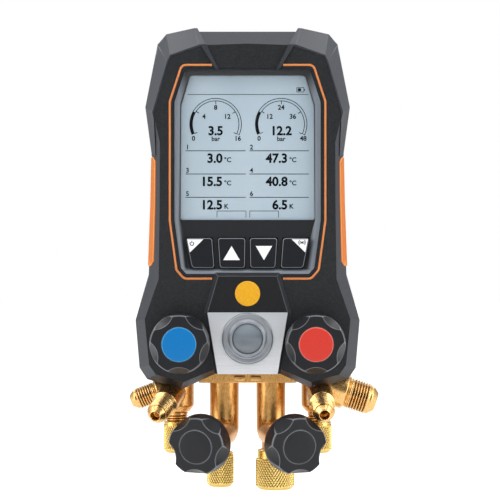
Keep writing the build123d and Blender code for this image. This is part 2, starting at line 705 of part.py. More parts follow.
def trim_band():
    """The coloured line as a closed band, before its two breaks are cut."""
    line, floor = mirrored(TRIM_OUTLINE), FRONT_Y + TRIM_DEEP
    outer, inner = [plate(inset(line, edge), FRONT_Y, floor, TRIM_CORNER - edge)
                    for edge in (-TRIM_WIDE / 2, TRIM_WIDE / 2)]
    half = TRIM_GAP_HALF
    return less(outer, inner, box(-half, half, FRONT_Y, floor, -BEYOND, BEYOND))


def trim_line(side):
    half = box(0, side * BEYOND, FRONT_Y, FRONT_Y + TRIM_DEEP, -BEYOND, BEYOND)
    return trim_band() & half


def board_posts():
    return [rod(along((x, BOARD_FRONT_Y, z), (0, -1, 0)), BOARD_POST_R, 0,
                BOARD_FRONT_Y - FRONT_Y - WALL / 2)
            for x, z in both_sides([(BOARD_POST_X, z) for z in BOARD_POST_Z])]


def screw_bosses(front):
    """Screw bosses of one shell, kept inside its outer form."""
    start, end = (FRONT_Y + WALL / 2, PARTING_Y) if front else (PARTING_Y, BACK_Y - WALL / 2)
    return [rod(along((x, start, z), (0, 1, 0)), SCREW_BOSS_R, 0, end - start)
            for x, z in both_sides(SCREW_POINTS)]


def screw_shafts():
    """The holes for the housing screws: a shaft and a deep head bore from the back."""
    tools = []
    for x, z in both_sides(SCREW_POINTS):
        plane = along((x, BACK_Y, z), (0, -1, 0))
        tools.append(rod(plane, SCREW_R, 0, SCREW_SUNK + SCREW_LONG))
        tools.append(rod(plane, SCREW_HEAD_R + SCREW_HEAD_GAP, -OVER, SCREW_SUNK))
    return tools


def centre_cover_outline():
    return mirrored([(0, COVER_TOP_Z), (COVER_TOP_HALF, COVER_TOP_Z),
                     (PLATE_TOP_HALF, PLATE_TOP_Z), (PLATE_BOTTOM_HALF, PLATE_BOTTOM_Z),
                     (0, PLATE_BOTTOM_Z)])


def plate_outline():
    return [(-PLATE_TOP_HALF, PLATE_TOP_Z), (PLATE_TOP_HALF, PLATE_TOP_Z),
            (PLATE_BOTTOM_HALF, PLATE_BOTTOM_Z), (-PLATE_BOTTOM_HALF, PLATE_BOTTOM_Z)]


def sight_hole():
    eye = along((0, BLOCK_Y, SIGHT_Z), (0, -1, 0))
    return rod(eye, SIGHT_R + SIGHT_GAP, BLOCK_HALF_DEEP, BEYOND)


def front_housing():
    """The front shell with its display opening, trim groove, valve collars and screw bosses."""
    outer = front_solid()
    shell = less(outer, front_cavity())
    collars = [rod(along((side * UPPER_X, FRONT_Y + WALL, UPPER_Z), (0, -1, 0)), COLLAR_OUT_R, 0,
                   WALL + COLLAR_PROUD) for side in (-1, 1)]
    holes = [rod(valve_axis(name), COLLAR_IN_R, BLOCK_HALF_DEEP, BEYOND)
             for name in ("upper_left", "upper_right")]
    bosses = [boss & outer for boss in screw_bosses(True)]
    shell = joined(shell, *bosses, *board_posts(), *collars)
    return less(shell, bezel_plate(FRONT_Y - OVER, BEZEL_BACK_Y), trim_band(),
                sight_hole(), *holes, *fitting_room(), *screw_shafts(), *grips())


def rear_lip():
    """A tongue round the rear shell's rim that sits inside the front shell."""
    low, high = PARTING_Y - 2 * LIP, PARTING_Y + 2 * LIP
    tongue = plate(side_wires(WALL + LIP_GAP), low, PARTING_Y)
    root = plate(side_wires(WALL), PARTING_Y, high)
    return less(joined(tongue, root), plate(side_wires(WALL + LIP_GAP + LIP), low, high))


def hook_recess():
    """Half width, floor and bottom of the recess that the hook folds into."""
    half = HOOK_HALF + RECESS_GAP
    floor = -BARREL_R - RECESS_FLOOR_GAP
    bottom = -HOOK_EYE_DROP - HOOK_HALF - RECESS_GAP
    return half, floor, bottom


def rear_housing():
    """The rear shell: hook recess with two ears, battery opening and screw bosses."""
    outer = rear_solid()
    half, floor, bottom = hook_recess()
    ribs = box(-half - WALL, half + WALL, floor - WALL, BACK_Y, bottom - WALL, BEYOND) & outer
    stands = [rod(along((x, BLOCK_Y + BLOCK_HALF_DEEP, z), (0, 1, 0)), SCREW_BOSS_R, 0,
                  BACK_Y - WALL / 2 - BLOCK_Y - BLOCK_HALF_DEEP)
              for x, z in both_sides(BLOCK_SCREW_POINTS)]
    bosses = [boss & outer for boss in screw_bosses(False)]
    shell = joined(less(outer, rear_cavity()), ribs, *bosses, *stands)
    shell = less(shell, box(-half, half, floor, BACK_Y + OVER, bottom, BEYOND))
    shell = joined(shell, *[hook_ear(side) for side in (-1, 1)])
    block_holes = []
    for x, z in both_sides(BLOCK_SCREW_POINTS):
        plane = along((x, BACK_Y, z), (0, -1, 0))
        block_holes += [rod(plane, SCREW_R, 0, SCREW_SUNK + SCREW_LONG),
                        rod(plane, SCREW_HEAD_R + SCREW_HEAD_GAP, -OVER, SCREW_SUNK)]
    x_half, z_low = tray_half(), tray_bottom()
    opening = box(-x_half, x_half, BACK_Y - 2 * WALL, BACK_Y + OVER, z_low, TRAY_TOP_Z)
    seat = box(-x_half - DOOR_MARGIN, x_half + DOOR_MARGIN, BACK_Y - DOOR_SEAT, BACK_Y + OVER,
               z_low - DOOR_MARGIN, TRAY_TOP_Z + DOOR_MARGIN)
    tray_room = box(-x_half - TRAY_WALL, x_half + TRAY_WALL, PARTING_Y, BACK_Y - WALL,
                    z_low - TRAY_WALL, TRAY_TOP_Z + TRAY_WALL)
    return less(shell, opening, seat, tray_room, *screw_shafts(), *block_holes, *grips(),
                hook_pin(), *fitting_room())


def thick_outline(half):
    """An outline grown by the bumper's thickness above its foot, and by its foot's below."""
    grown, foot = inset(mirrored(half), -BUMPER), inset(mirrored(half), -BUMPER_FOOT)
    return [g if g[1] > BUMPER_FOOT_Z else f for g, f in zip(grown, foot)]


def corner_bumper():
    """The right bumper, which wraps a top corner of both shells."""
    sides, front = thick_outline(SIDE_OUTLINE), inset(mirrored(FRONT_OUTLINE), -BUMPER_EDGE)
    blank = lofted((front, FRONT_Y - BUMPER_FRONT), (sides, SHOULDER_Y), (sides, BUMPER_BACK_Y))
    core = lofted((mirrored(FRONT_OUTLINE), FRONT_Y), (side_wires(), SHOULDER_Y),
                  (side_wires(), BUMPER_BACK_Y))
    wrap = less(blank, core) & plate(BUMPER_REGION, FRONT_Y - BUMPER_FRONT, BUMPER_BACK_Y)
    return joined(wrap, plate(BUMPER_WEDGE, FRONT_Y - WEDGE_PROUD, FRONT_Y))


def grips():
    """The two side grips as blanks, for their recesses and for themselves."""
    slant = GRIP_SLANT
    outer, core = [lofted((inset(mirrored(FRONT_OUTLINE), edge), FRONT_Y),
                          (side_wires(edge), SHOULDER_Y), (side_wires(edge), GRIP_BACK_Y))
                   for edge in (-GRIP_PROUD, GRIP_DEEP)]
    band = less(outer, core)
    ends = [(GRIP_FRONT_Y, GRIP_TOP_Z - slant), (GRIP_FRONT_Y + slant, GRIP_TOP_Z),
            (GRIP_BACK_Y, GRIP_TOP_Z), (GRIP_BACK_Y, GRIP_BOTTOM_Z),
            (GRIP_FRONT_Y + slant, GRIP_BOTTOM_Z), (GRIP_FRONT_Y, GRIP_BOTTOM_Z + slant)]
    wire = Wire.make_polygon([Vector(0, y, z) for y, z in ends], close=True)
    window = Solid.extrude(Face(wire), Vector(BEYOND, 0, 0))
    return band & window, band & mirror_x(window)


# ---- display, keys and board --------------------------------------------------------------
def window_outline(extra=0):
    return inset(mirrored(WINDOW_OUTLINE), -extra)


def display_bezel():
    """A dished frame round the window, with a closed panel below it for the four keys."""
    rim = bezel_outline(BEZEL_FIT)
    block = bezel_plate(FRONT_Y, BEZEL_BACK_Y, BEZEL_FIT)
    dish = lofted((inset(rim, BEZEL_RIM), FRONT_Y), (inset(rim, DISH_WALL), BEZEL_FLOOR_Y))
    keys = [plate(key_outline(name, KEY_GAP), BEZEL_FLOOR_Y, BEZEL_BACK_Y) for name in KEYS]
    half = key_pocket_half()
    pocket = box(-half, half, BEZEL_BACK_Y - KEY_POCKET, BEZEL_BACK_Y,
                 KEY_BOTTOM_Z - KEY_FLANGE - KEY_GAP, KEY_TOP_Z + KEY_FLANGE + KEY_GAP)
    return less(block, dish, plate(window_outline(WINDOW_FIT), BEZEL_FLOOR_Y, BEZEL_BACK_Y),
                pocket, *keys)


def display_window():
    return plate(window_outline(), BEZEL_FLOOR_Y + 0.3, BEZEL_BACK_Y)


def lcd_module():
    """The display panel and its backlight in one frame, held behind the bezel."""
    top, bottom = WINDOW_OUTLINE[0][1], WINDOW_OUTLINE[-1][1]
    half = max(x for x, z in WINDOW_OUTLINE) + LCD_OVERLAP
    return box(-half, half, BEZEL_BACK_Y, BEZEL_BACK_Y + LCD_THICK, bottom - LCD_OVERLAP,
               top + LCD_OVERLAP)


def key_pocket_half():
    return KEY_FAR[1] + KEY_FLANGE + KEY_GAP


def key_outline(name, extra=0):
    side, (top_in, top_out, low_out, low_in) = KEYS[name]
    corners = [(side * top_in, KEY_TOP_Z), (side * top_out, KEY_TOP_Z),
               (side * low_out, KEY_BOTTOM_Z), (side * low_in, KEY_BOTTOM_Z)]
    return inset(corners, -extra)


def key(name):
    """A key with a bevelled top and a flange behind the panel."""
    front = BEZEL_FLOOR_Y - KEY_PROUD
    flange_y = BEZEL_BACK_Y - KEY_POCKET + MAT_GAP
    top = plate(key_outline(name), front, flange_y, KEY_CORNER)
    face = top.faces().sort_by(Axis.Y)[0]
    top = top.chamfer(KEY_BEVEL, None, face.edges())
    flange = plate(key_outline(name, KEY_FLANGE * KEY_FLANGE_FILL), flange_y,
                   flange_y + KEY_FLANGE_THICK)
    return joined(top, flange)


def keypad_mat():
    """The sprung rubber mat behind the keys."""
    start, half = BEZEL_BACK_Y, key_pocket_half() + MAT_MARGIN
    return box(-half, half, start, start + MAT_THICK, KEY_BOTTOM_Z - MAT_MARGIN,
               KEY_TOP_Z + MAT_MARGIN)


def main_board():
    """The circuit board with its mounting ears, and a few parts soldered to its back."""
    back = BOARD_FRONT_Y + BOARD_THICK
    core = box(-BOARD_CORE_HALF, BOARD_CORE_HALF, BOARD_FRONT_Y, back, BOARD_BOTTOM_Z, BOARD_TOP_Z)
    ear = BOARD_POST_R + BOARD_EAR_MARGIN
    ears = [box(0, side * BOARD_HALF, BOARD_FRONT_Y, back, z - ear, z + ear)
            for z in BOARD_POST_Z for side in (-1, 1)]
    chips = [box(x - w / 2, x + w / 2, back, back + t, z - h / 2, z + h / 2)
             for x, z, w, h, t in BOARD_PARTS]
    return joined(core, *ears, *chips)


# ---- cover, plate, disc and sight glass ---------------------------------------------------
def cover_face_y():
    return FRONT_Y - COVER_PROUD


def centre_cover():
    """The raised cover between the knobs, recessed for the face plate and the disc."""
    outline = centre_cover_outline()
    face = cover_face_y()
    foot = [(x, max(z, PLATE_BOTTOM_Z)) for x, z in inset(outline, -COVER_SLOPE)]
    body = lofted((outline, face), (foot, FRONT_Y))
    badge = rod(along((0, face, DISC_Z), (0, 1, 0)), DISC_R, 0, DISC_THICK - DISC_PROUD)
    collars = [rod(along((side * UPPER_X, FRONT_Y, UPPER_Z), (0, -1, 0)),
                   COLLAR_OUT_R + COVER_COLLAR_GAP, 0, COVER_PROUD) for side in (-1, 1)]
    return less(body, plate(plate_outline(), face - OVER, face + PLATE_THICK), badge,
                sight_hole(), *collars)


def badge_disc():
    """A plain coloured disc let into the cover."""
    plane = along((0, cover_face_y() - DISC_PROUD, DISC_Z), (0, 1, 0))
    return turned(plane, (DISC_R - DISC_BEVEL, 0), (DISC_R, DISC_BEVEL), (DISC_R, DISC_THICK))


def face_plate():
    face = cover_face_y()
    return less(plate(plate_outline(), face, face + PLATE_THICK, PLATE_CORNER), sight_hole())


def sight_glass_ring():
    """The ring that is screwed to the block: a sloped flange, a bead and a seat for the lens."""
    eye = along((0, BLOCK_Y, SIGHT_Z), (0, -1, 0))
    face = BLOCK_Y - cover_face_y()
    rim, top = face + SIGHT_RIM, face + SIGHT_PROUD
    return less(
        turned(eye, (SIGHT_R, BLOCK_HALF_DEEP), (SIGHT_R, rim - SIGHT_BEVEL),
               (SIGHT_R - SIGHT_BEVEL, rim), (BEAD_R + BEAD_SLOPE, rim + SIGHT_DISH),
               (BEAD_R, top), (LENS_R + FIT, top)),
        rod(eye, LENS_R + FIT, lens_start() - SEAL_THICK, top + OVER),
        rod(eye, SIGHT_BORE_R, 0, top))


def lens_start():
    return BLOCK_Y - cover_face_y() + SIGHT_PROUD - LENS_SUNK - LENS_THICK


def sight_glass_lens():
    eye = along((0, BLOCK_Y, SIGHT_Z), (0, -1, 0))
    start = lens_start()
    return turned(eye, (LENS_R, start), (LENS_R, start + LENS_THICK - LENS_CROWN),
                  (LENS_FLAT_R, start + LENS_THICK))


def sight_glass_seal():
    eye = along((0, BLOCK_Y, SIGHT_Z), (0, -1, 0))
    start = lens_start() - SEAL_THICK
    return less(rod(eye, LENS_R, start, start + SEAL_THICK),
                rod(eye, SIGHT_BORE_R, start, start + SEAL_THICK))


# ---- hook, batteries, screws and sensors --------------------------------------------------
def hook_axis():
    return along((0, 0, 0), (1, 0, 0), (0, 1, 0))


def hook_ear(side):
    """An ear of the rear shell that holds one end of the hook's pin."""
    half, floor, bottom = hook_recess()
    inner = half - EAR_WIDE
    return joined(
        rod(hook_axis(), BARREL_R, min(side * inner, side * half), max(side * inner, side * half)),
        box(side * inner, side * half, floor, 0, -BARREL_R, BARREL_R))


def hook_pin():
    half = hook_recess()[0]
    return rod(hook_axis(), PIN_R, -half - WALL / 2, half + WALL / 2)


def hook():
    """A flat steel hook: a barrel, a stem and an eye that is open at one side."""
    inner = hook_recess()[0] - EAR_WIDE - HOOK_SIDE_GAP
    half = HOOK_THICK / 2
    eye = along((0, half, -HOOK_EYE_DROP), (0, -1, 0))
    body = joined(
        rod(hook_axis(), BARREL_R, -inner, inner),
        box(-HOOK_STEM_HALF, HOOK_STEM_HALF, -half, half, -HOOK_EYE_DROP, 0),
        rod(eye, HOOK_HALF, 0, HOOK_THICK))
    mouth = box(0, HOOK_HALF + OVER, -half, half, -HOOK_EYE_DROP, -HOOK_EYE_DROP + HOOK_MOUTH)
    return less(body, rod(eye, HOOK_EYE_R, 0, HOOK_THICK), mouth,
                rod(hook_axis(), PIN_R + FIT, -inner, inner))


def tray_half():
    return CELL_COUNT * CELL_PITCH / 2 + TRAY_GAP


def tray_bottom():
    return TRAY_TOP_Z - CELL_LONG - CONTACT_ROOM


def cell_places():
    first = -(CELL_COUNT - 1) / 2 * CELL_PITCH
    return [(first + k * CELL_PITCH, k % 2 == 0) for k in range(CELL_COUNT)]


def battery_tray():
    """An open box that holds the cells, with a sprung contact pad at each end of each cell."""
    half, low = tray_half(), tray_bottom()
    floor = CELL_Y - CELL_R - TRAY_GAP
    back = BACK_Y - WALL
    body = less(
        box(-half - TRAY_WALL, half + TRAY_WALL, floor - TRAY_WALL, back, low - TRAY_WALL,
            TRAY_TOP_Z + TRAY_WALL),
        box(-half, half, floor, back, low, TRAY_TOP_Z))
    pads = []
    for x, _ in cell_places():
        for z, outward in ((TRAY_TOP_Z, 1), (low, -1)):
            end = (TRAY_TOP_Z + low) / 2 + outward * (CELL_LONG / 2)
            pads.append(box(x - CONTACT_HALF, x + CONTACT_HALF, floor, CELL_Y + CONTACT_HALF,
                            end, z))
    return joined(body, *pads)


def battery(x, up):
    """One AA cell, standing upright, with its button at the top or at the bottom."""
    middle = (TRAY_TOP_Z + tray_bottom()) / 2
    plane = along((x, CELL_Y, middle), (0, 0, 1 if up else -1))
    half = CELL_LONG / 2
    return turned(plane, (CELL_R, -half), (CELL_R, half - CELL_BUTTON),
                  (CELL_BUTTON_R, half - CELL_BUTTON), (CELL_BUTTON_R, half))


def battery_cover():
    """The door of the battery bay, with a shallow finger groove along its top."""
    margin = DOOR_MARGIN - DOOR_FIT
    half, low = tray_half(), tray_bottom()
    inner = BACK_Y - DOOR_SEAT
    body = box(-half - margin, half + margin, inner, inner + DOOR_THICK, low - margin,
               TRAY_TOP_Z + margin)
    body = body.chamfer(DOOR_BEVEL, None, body.faces().sort_by(Axis.Y)[-1].edges())
    plug = box(-half + DOOR_FIT, half - DOOR_FIT, inner - DOOR_SEAT, inner, low + DOOR_FIT,
               TRAY_TOP_Z - DOOR_FIT)
    wall, face = DOOR_PLUG_WALL, inner + DOOR_THICK
    hollow = box(-half + wall, half - wall, inner - DOOR_SEAT, inner, low + wall,
                 TRAY_TOP_Z - wall)
    grooves = [box(-DOOR_GROOVE_HALF, DOOR_GROOVE_HALF, face - DOOR_GROOVE_DEEP, face,
                   TRAY_TOP_Z - drop, TRAY_TOP_Z - drop + DOOR_GROOVE_WIDE)
               for drop in DOOR_GROOVES]
    return less(joined(body, less(plug, hollow)), *grooves)


def screw(x, z):
    """A cross-head screw driven in from the back."""
    plane = along((x, BACK_Y - SCREW_SUNK, z), (0, -1, 0))
    body = turned(plane, (SCREW_HEAD_R, -SCREW_HEAD), (SCREW_HEAD_R, 0), (SCREW_R, 0),
                  (SCREW_R, SCREW_LONG))
    top = BACK_Y - SCREW_SUNK + SCREW_HEAD
    slots = [box(x - w, x + w, top - SCREW_SLOT_DEEP, top, z - h, z + h)
             for w, h in (SCREW_SLOT, SCREW_SLOT[::-1])]
    return less(body, *slots)


def pressure_sensor(side):
    """A pressure sensor screwed into the top of the block, with its plug on top."""
    plane = along((side * SENSOR_X, BLOCK_Y, BLOCK_TOP_Z), (0, 0, 1))
    return turned(plane, (SENSOR_R, 0), (SENSOR_R, SENSOR_BODY_LONG), (PLUG_R, SENSOR_BODY_LONG),
                  (PLUG_R, SENSOR_LONG))


def build():
    """Every node of the assembly, by name."""
    bodies = {
        "outer_body_left": outer_body("outer_left"),
        "outer_body_right": outer_body("outer_right"),
        "inner_body_left": inner_body("inner_left", "lower_left"),
        "inner_body_right": inner_body("inner_right", "lower_right"),
    }
    flares = flare_solids()
    for name, (plane, reach, large) in FLARES.items():
        side = -1 if name.endswith("left") else 1
        body = "outer_body_left" if side < 0 else "outer_body_right"
        post = rod(along((side * OUTER_X, BLOCK_Y, 0), (0, 0, -1)), OUTER_R, -BLOCK_BOTTOM_Z,
                   BEYOND)
        flares[name] = less(flares[name], post, block_bar())
        bodies[body] = less(bodies[body], rod(plane, bore_r(large), 0, reach))
    for side in ("left", "right"):
        plane, reach, large = FLARES[f"flare_side_{side}"]
        collar = rod(plane, collar_r(large), 0, reach)
        flares[f"flare_front_{side}"] = less(flares[f"flare_front_{side}"], collar)
    lip = less(rear_lip(), *screw_bosses(True), *fitting_room())
    right, left = grips()
    nodes = {
        "front_housing": front_housing(), "rear_housing": joined(rear_housing(), lip),
        "corner_bumper_right": corner_bumper(),
        "side_grip_right": right, "side_grip_left": left,
        "trim_line_right": trim_line(1), "trim_line_left": trim_line(-1),
        "display_bezel": display_bezel(), "display_window": display_window(),
        "lcd_module": lcd_module(), "keypad_mat": keypad_mat(), "main_board": main_board(),
        "centre_cover": centre_cover(), "badge_disc": badge_disc(), "face_plate": face_plate(),
        "sight_glass_ring": sight_glass_ring(), "sight_glass_lens": sight_glass_lens(),
        "sight_glass_seal": sight_glass_seal(), "valve_block": valve_block(),
        "hook": hook(), "hook_pin": hook_pin(), "battery_tray": battery_tray(),
        "battery_cover": battery_cover(),
        "batteries": [battery(x, up) for x, up in cell_places()],
        "screws": [screw(x, z) for x, z in both_sides(SCREW_POINTS + BLOCK_SCREW_POINTS)],
        "pressure_sensors": [pressure_sensor(side) for side in (-1, 1)],
        "gland_nuts": [gland_nut(valve_axis(name)) for name in VALVES],
        **bodies, **flares,
    }
    nodes["corner_bumper_left"] = mirror_x(nodes["corner_bumper_right"])
    for name in KEYS:
        nodes[name] = key(name)
    for name, face in VALVES.items():
        axis = valve_axis(name)
        nodes[f"knob_{name}"] = knob(axis, face)
        nodes[f"knob_cap_{name}"] = knob_cap(axis, face)
        nodes[f"spindle_{name}"] = spindle(axis, face)
        nodes[f"piston_{name}"] = piston(axis)
    for name in PORTS:
        nodes[f"screw_cap_{name}"] = screw_cap(name)
    return nodes


os.makedirs("parts", exist_ok=True)
for node, shape in build().items():
    save(node, shape)
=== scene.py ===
# %% [markdown]
# # The looks of a digital refrigerant manifold gauge
# The instrument hangs from a hook on its back. It has a plastic housing with a display and four
# keys, a brass block inside its lower end, four valves with hand knobs, four flared hose fittings
# and four sealing caps. A solid model of it is loaded first, as a fixed frame: it says where each
# piece lies and which pieces move together. This script then gives every piece its real surface.
# +X is the reader's right, +Z is up, the display faces -Y and the origin is on the hook's pivot.

# %% The fixed frame
import json
from math import cos, pi, radians, sin

import bmesh
import bpy
import numpy as np
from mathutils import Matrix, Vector
from mathutils.bvhtree import BVHTree

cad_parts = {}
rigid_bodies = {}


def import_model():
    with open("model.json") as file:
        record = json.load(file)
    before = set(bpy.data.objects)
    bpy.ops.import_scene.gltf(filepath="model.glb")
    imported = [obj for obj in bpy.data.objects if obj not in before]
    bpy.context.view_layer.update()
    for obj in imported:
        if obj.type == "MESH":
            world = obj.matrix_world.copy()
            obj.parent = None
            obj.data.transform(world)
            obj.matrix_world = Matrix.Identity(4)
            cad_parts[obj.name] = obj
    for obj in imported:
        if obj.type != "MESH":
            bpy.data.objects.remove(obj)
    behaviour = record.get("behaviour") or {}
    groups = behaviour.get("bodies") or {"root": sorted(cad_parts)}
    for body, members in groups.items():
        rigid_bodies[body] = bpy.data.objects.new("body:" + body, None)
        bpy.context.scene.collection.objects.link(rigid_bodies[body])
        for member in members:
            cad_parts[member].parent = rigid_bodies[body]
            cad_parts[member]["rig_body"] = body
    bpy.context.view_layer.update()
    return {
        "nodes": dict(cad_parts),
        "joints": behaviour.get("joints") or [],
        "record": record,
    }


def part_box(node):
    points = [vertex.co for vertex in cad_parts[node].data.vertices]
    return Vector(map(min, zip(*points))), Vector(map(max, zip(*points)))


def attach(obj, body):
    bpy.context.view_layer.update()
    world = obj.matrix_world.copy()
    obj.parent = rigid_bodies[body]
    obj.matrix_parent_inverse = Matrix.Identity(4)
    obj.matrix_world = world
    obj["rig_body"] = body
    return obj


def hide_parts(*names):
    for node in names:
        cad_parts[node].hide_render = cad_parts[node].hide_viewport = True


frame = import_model()
NODES = frame["nodes"]
MM = 0.001

# %% [markdown]
# ## Shapes as grids of points
# Most new pieces are surfaces worked out as whole arrays: a grid of points, and the four-cornered
# faces between neighbours. Drawing them by hand would work too, but a formula keeps the sizes in
# sight and gives clean, closed meshes. All shapes are computed in millimetres.

# %% Faces of a grid


def grid_faces(rows, columns):
    """Faces between neighbours of a grid that is wrapped round in its second direction."""
    row, column = np.meshgrid(np.arange(rows - 1), np.arange(columns), indexing="ij")
    here = row * columns + column
    beside = row * columns + (column + 1) % columns
    return np.stack([here, beside, beside + columns, here + columns], -1).reshape(-1, 4)


def closed_shell(rings):
    """A closed surface through rings of points: walls between them and a fan over each end."""
    rows, columns, _ = rings.shape
    count = rows * columns
    around = np.arange(columns)
    onward = np.roll(around, -1)
    last = count - columns
    bottom = np.stack([np.full(columns, count), onward, around], -1)
    top = np.stack([np.full(columns, count + 1), around + last, onward + last], -1)
    points = np.vstack([rings.reshape(-1, 3), rings[0].mean(0), rings[-1].mean(0)])
    return facing_out(points, [grid_faces(rows, columns), bottom, top])


def facing_out(points, groups):
    """Turns every face round if the shell's volume, summed over its faces, comes out negative."""
    volume = 0.0
    for group in groups:
        first = points[group[:, 0]]
        for k in range(1, group.shape[1] - 1):
            across = np.cross(points[group[:, k]], points[group[:, k + 1]])
            volume += np.einsum("ij,ij->", first, across)
    return points, groups if volume > 0 else [group[:, ::-1] for group in groups]


# %% [markdown]
# ## Putting a piece into the scene
# A piece is one object at the origin, with its place in its mesh. It rides on the body that carries
# it, takes the finish it is given and may stand for solids of the frame.

# %% Making an object from shells
SHARP = radians(32)
SHARP_GROOVED = radians(75)


def dress(item, finish, body, slot, *nodes):
    """Gives an object its finish and its body, and hides the solids it stands for; its slot is not
    used.
    """
    item.data.materials.clear()
    item.data.materials.append(finish)
    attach(item, body)
    if nodes:
        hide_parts(*nodes)
    return item


def into_scene(name, data):
    """A new object for some data, linked to the scene."""
    item = bpy.data.objects.new(name, data)
    bpy.context.scene.collection.objects.link(item)
    return item


def new_object(name, mesh, sharp=SHARP):
    """An object for a mesh, smooth where its faces meet at a small angle."""
    mesh.shade_smooth()
    mesh.set_sharp_from_angle(angle=sharp)
    return into_scene(name, mesh)


def worked_out(item):
    """A mesh of an object as its modifiers or its text make it."""
    bpy.context.view_layer.update()
    graph = bpy.context.evaluated_depsgraph_get()
    return bpy.data.meshes.new_from_object(item.evaluated_get(graph))


def piece(name, shells, finish, body, slot, *nodes, grooves=None):
    """One object from closed shells, each a table of points in millimetres and groups of faces."""
    points, faces, start = [], [], 0
    for shell_points, groups in shells:
        points.append(shell_points)
        for group in groups:
            faces += (group + start).tolist()
        start += len(shell_points)
    mesh = bpy.data.meshes.new(name)
    mesh.from_pydata((np.vstack(points) * MM).tolist(), [], faces)
    mark_edges(mesh)
    if grooves is None:
        return dress(new_object(name, mesh), finish, body, slot, *nodes)
    mark = mesh.attributes.new("groove", "FLOAT", "POINT")
    mark.data.foreach_set("value", grooves.astype(np.float32))
    return dress(new_object(name, mesh, SHARP_GROOVED), finish, body, slot, *nodes)


# %% [markdown]
# Edges that hands and tools rub wear first, and a rounded edge catches a thin gleam. A finish can't
# see an edge by itself, so each mesh carries a mark: how far the normals round a point spread, kept
# only on narrow faces, because the narrow strips of a rounded edge are the ones that wear. Finishes
# give a paler colour there, partly wear and partly a painted edge highlight.

# %% Marks for worn edges and painted edge highlights
EDGE_GAIN = 40.0
NARROW = 0.7


def read(items, name, width=1, kind=float):
    """One property of all of a mesh's items, as an array with a row for each."""
    values = np.zeros(len(items) * width, kind)
    items.foreach_get(name, values)
    return values.reshape(-1, width) if width > 1 else values


def mark_edges(mesh):
    """Stores, per face corner, how sharply a narrow face turns there: 0 on flats, 1 on an edge."""
    corners = read(mesh.loops, "vertex_index", kind=int)
    sides = read(mesh.polygons, "loop_total", kind=int)
    total = np.zeros((len(mesh.vertices), 3))
    np.add.at(total, corners, np.repeat(read(mesh.polygons, "normal", 3), sides, axis=0))
    count = np.maximum(np.bincount(corners, minlength=len(mesh.vertices)), 1)
    turn = 1 - np.linalg.norm(total, axis=1) / count
    places = read(mesh.vertices, "co", 3)[corners]
    start = np.cumsum(sides) - sides
    first = np.repeat(start, sides)
    onward = first + (np.arange(len(corners)) - first + 1) % np.repeat(sides, sides)
    longest = np.maximum.reduceat(np.linalg.norm(places[onward] - places, axis=1), start)
    area = read(mesh.polygons, "area")
    narrow = np.repeat(area / np.maximum(longest, 1e-9) < NARROW * MM, sides)
    mark = mesh.attributes.new("edge", "FLOAT", "CORNER")
    # Share of worn edge, which also serves as a painted highlight along narrow rounded strips.
    wear_and_gleam = np.clip(turn[corners] * EDGE_GAIN, 0, 1) * narrow
    mark.data.foreach_set("value", wear_and_gleam.astype(np.float32))


# %% [markdown]
# ## Turned parts, threads and knurls
# A lathe makes most of the brass. The same thing here: a profile of radius and height goes round an
# axis. A thread is the same surface with a notch whose place rises with the angle, and a knurl is
# two sets of notches that cross.

# %% Lines with rounded corners


def rounded(corners, cut, closed=False, steps=5):
    """A line with each corner cut back by a distance, and a parabola across the cut."""
    corners = np.asarray(corners, float)
    into = corners - np.roll(corners, 1, 0)
    onward = np.roll(corners, -1, 0) - corners
    long_in = np.linalg.norm(into, axis=1, keepdims=True)
    long_out = np.linalg.norm(onward, axis=1, keepdims=True)
    back = np.minimum(np.minimum(long_in, long_out) * 0.45, cut)
    if not closed:
        back[[0, -1]] = 0
        long_in, long_out = np.maximum(long_in, 1e-9), np.maximum(long_out, 1e-9)
    start = (corners - into / long_in * back)[:, None]
    end = (corners + onward / long_out * back)[:, None]
    t = np.linspace(0, 1, steps)[None, :, None]
    line = ((1 - t) ** 2 * start + 2 * t * (1 - t) * corners[:, None] + t**2 * end).reshape(-1, 2)
    step = np.linalg.norm(np.diff(line, axis=0), axis=1)
    return line[np.concatenate([[True], step > 1e-9])]


def resampled(line, step):
    """The same line with extra points, so that no two neighbours are further apart than a step."""
    along = np.concatenate([[0], np.cumsum(np.linalg.norm(np.diff(line, axis=0), axis=1))])
    places = np.union1d(along, np.arange(0, along[-1], step))
    places = places[np.concatenate([[True], np.diff(places) > step * 0.05])]
    return np.stack([np.interp(places, along, line[:, k]) for k in (0, 1)], -1)


# %% A profile turned round an axis


def unit(vector):
    vector = np.asarray(vector, float)
    return vector / np.linalg.norm(vector)


def placed(points, origin, axis, side=(1, 0, 0)):
    """Points along a piece's own axis, in any array, moved to the axis in the frame."""
    axis = unit(axis)
    side = unit(np.asarray(side, float) - axis * np.dot(side, axis))
    return np.asarray(origin, float) + points @ np.stack([side, np.cross(axis, side), axis])


def turned(profile, columns=96, relief=None):
    """Rings of a turned surface: radius less the relief at that angle and height."""
    angle = np.linspace(0, 2 * pi, columns, endpoint=False)[None, :]
    radius, height = profile[:, :1], profile[:, 1:]
    cut = relief(angle, height) if relief else 0.0
    reach = np.maximum(radius - cut, 0.01)
    return np.stack([reach * np.cos(angle), reach * np.sin(angle), height + 0 * angle], -1)


def lathed(profile, origin, axis, columns=96, relief=None):
    """A closed turned shell whose heights run along the axis from the origin."""
    return closed_shell(placed(turned(profile, columns, relief), origin, axis))


def groove_marks(profile, columns, relief):
    """How deep each point of a turned shell lies in its relief, from 0 to 1; 0 at its two ends."""
    angle = np.linspace(0, 2 * pi, columns, endpoint=False)[None, :]
    cut = relief(angle, profile[:, 1:]) + 0 * angle
    return np.concatenate([(cut / cut.max()).ravel(), [0, 0]])


def between(height, start, end, fade):
    """1 between two heights, running out to 0 over the fade at both ends."""
    rise = np.clip((height - start) / fade, 0, 1) * np.clip((end - height) / fade, 0, 1)
    return rise * rise * (3 - 2 * rise)


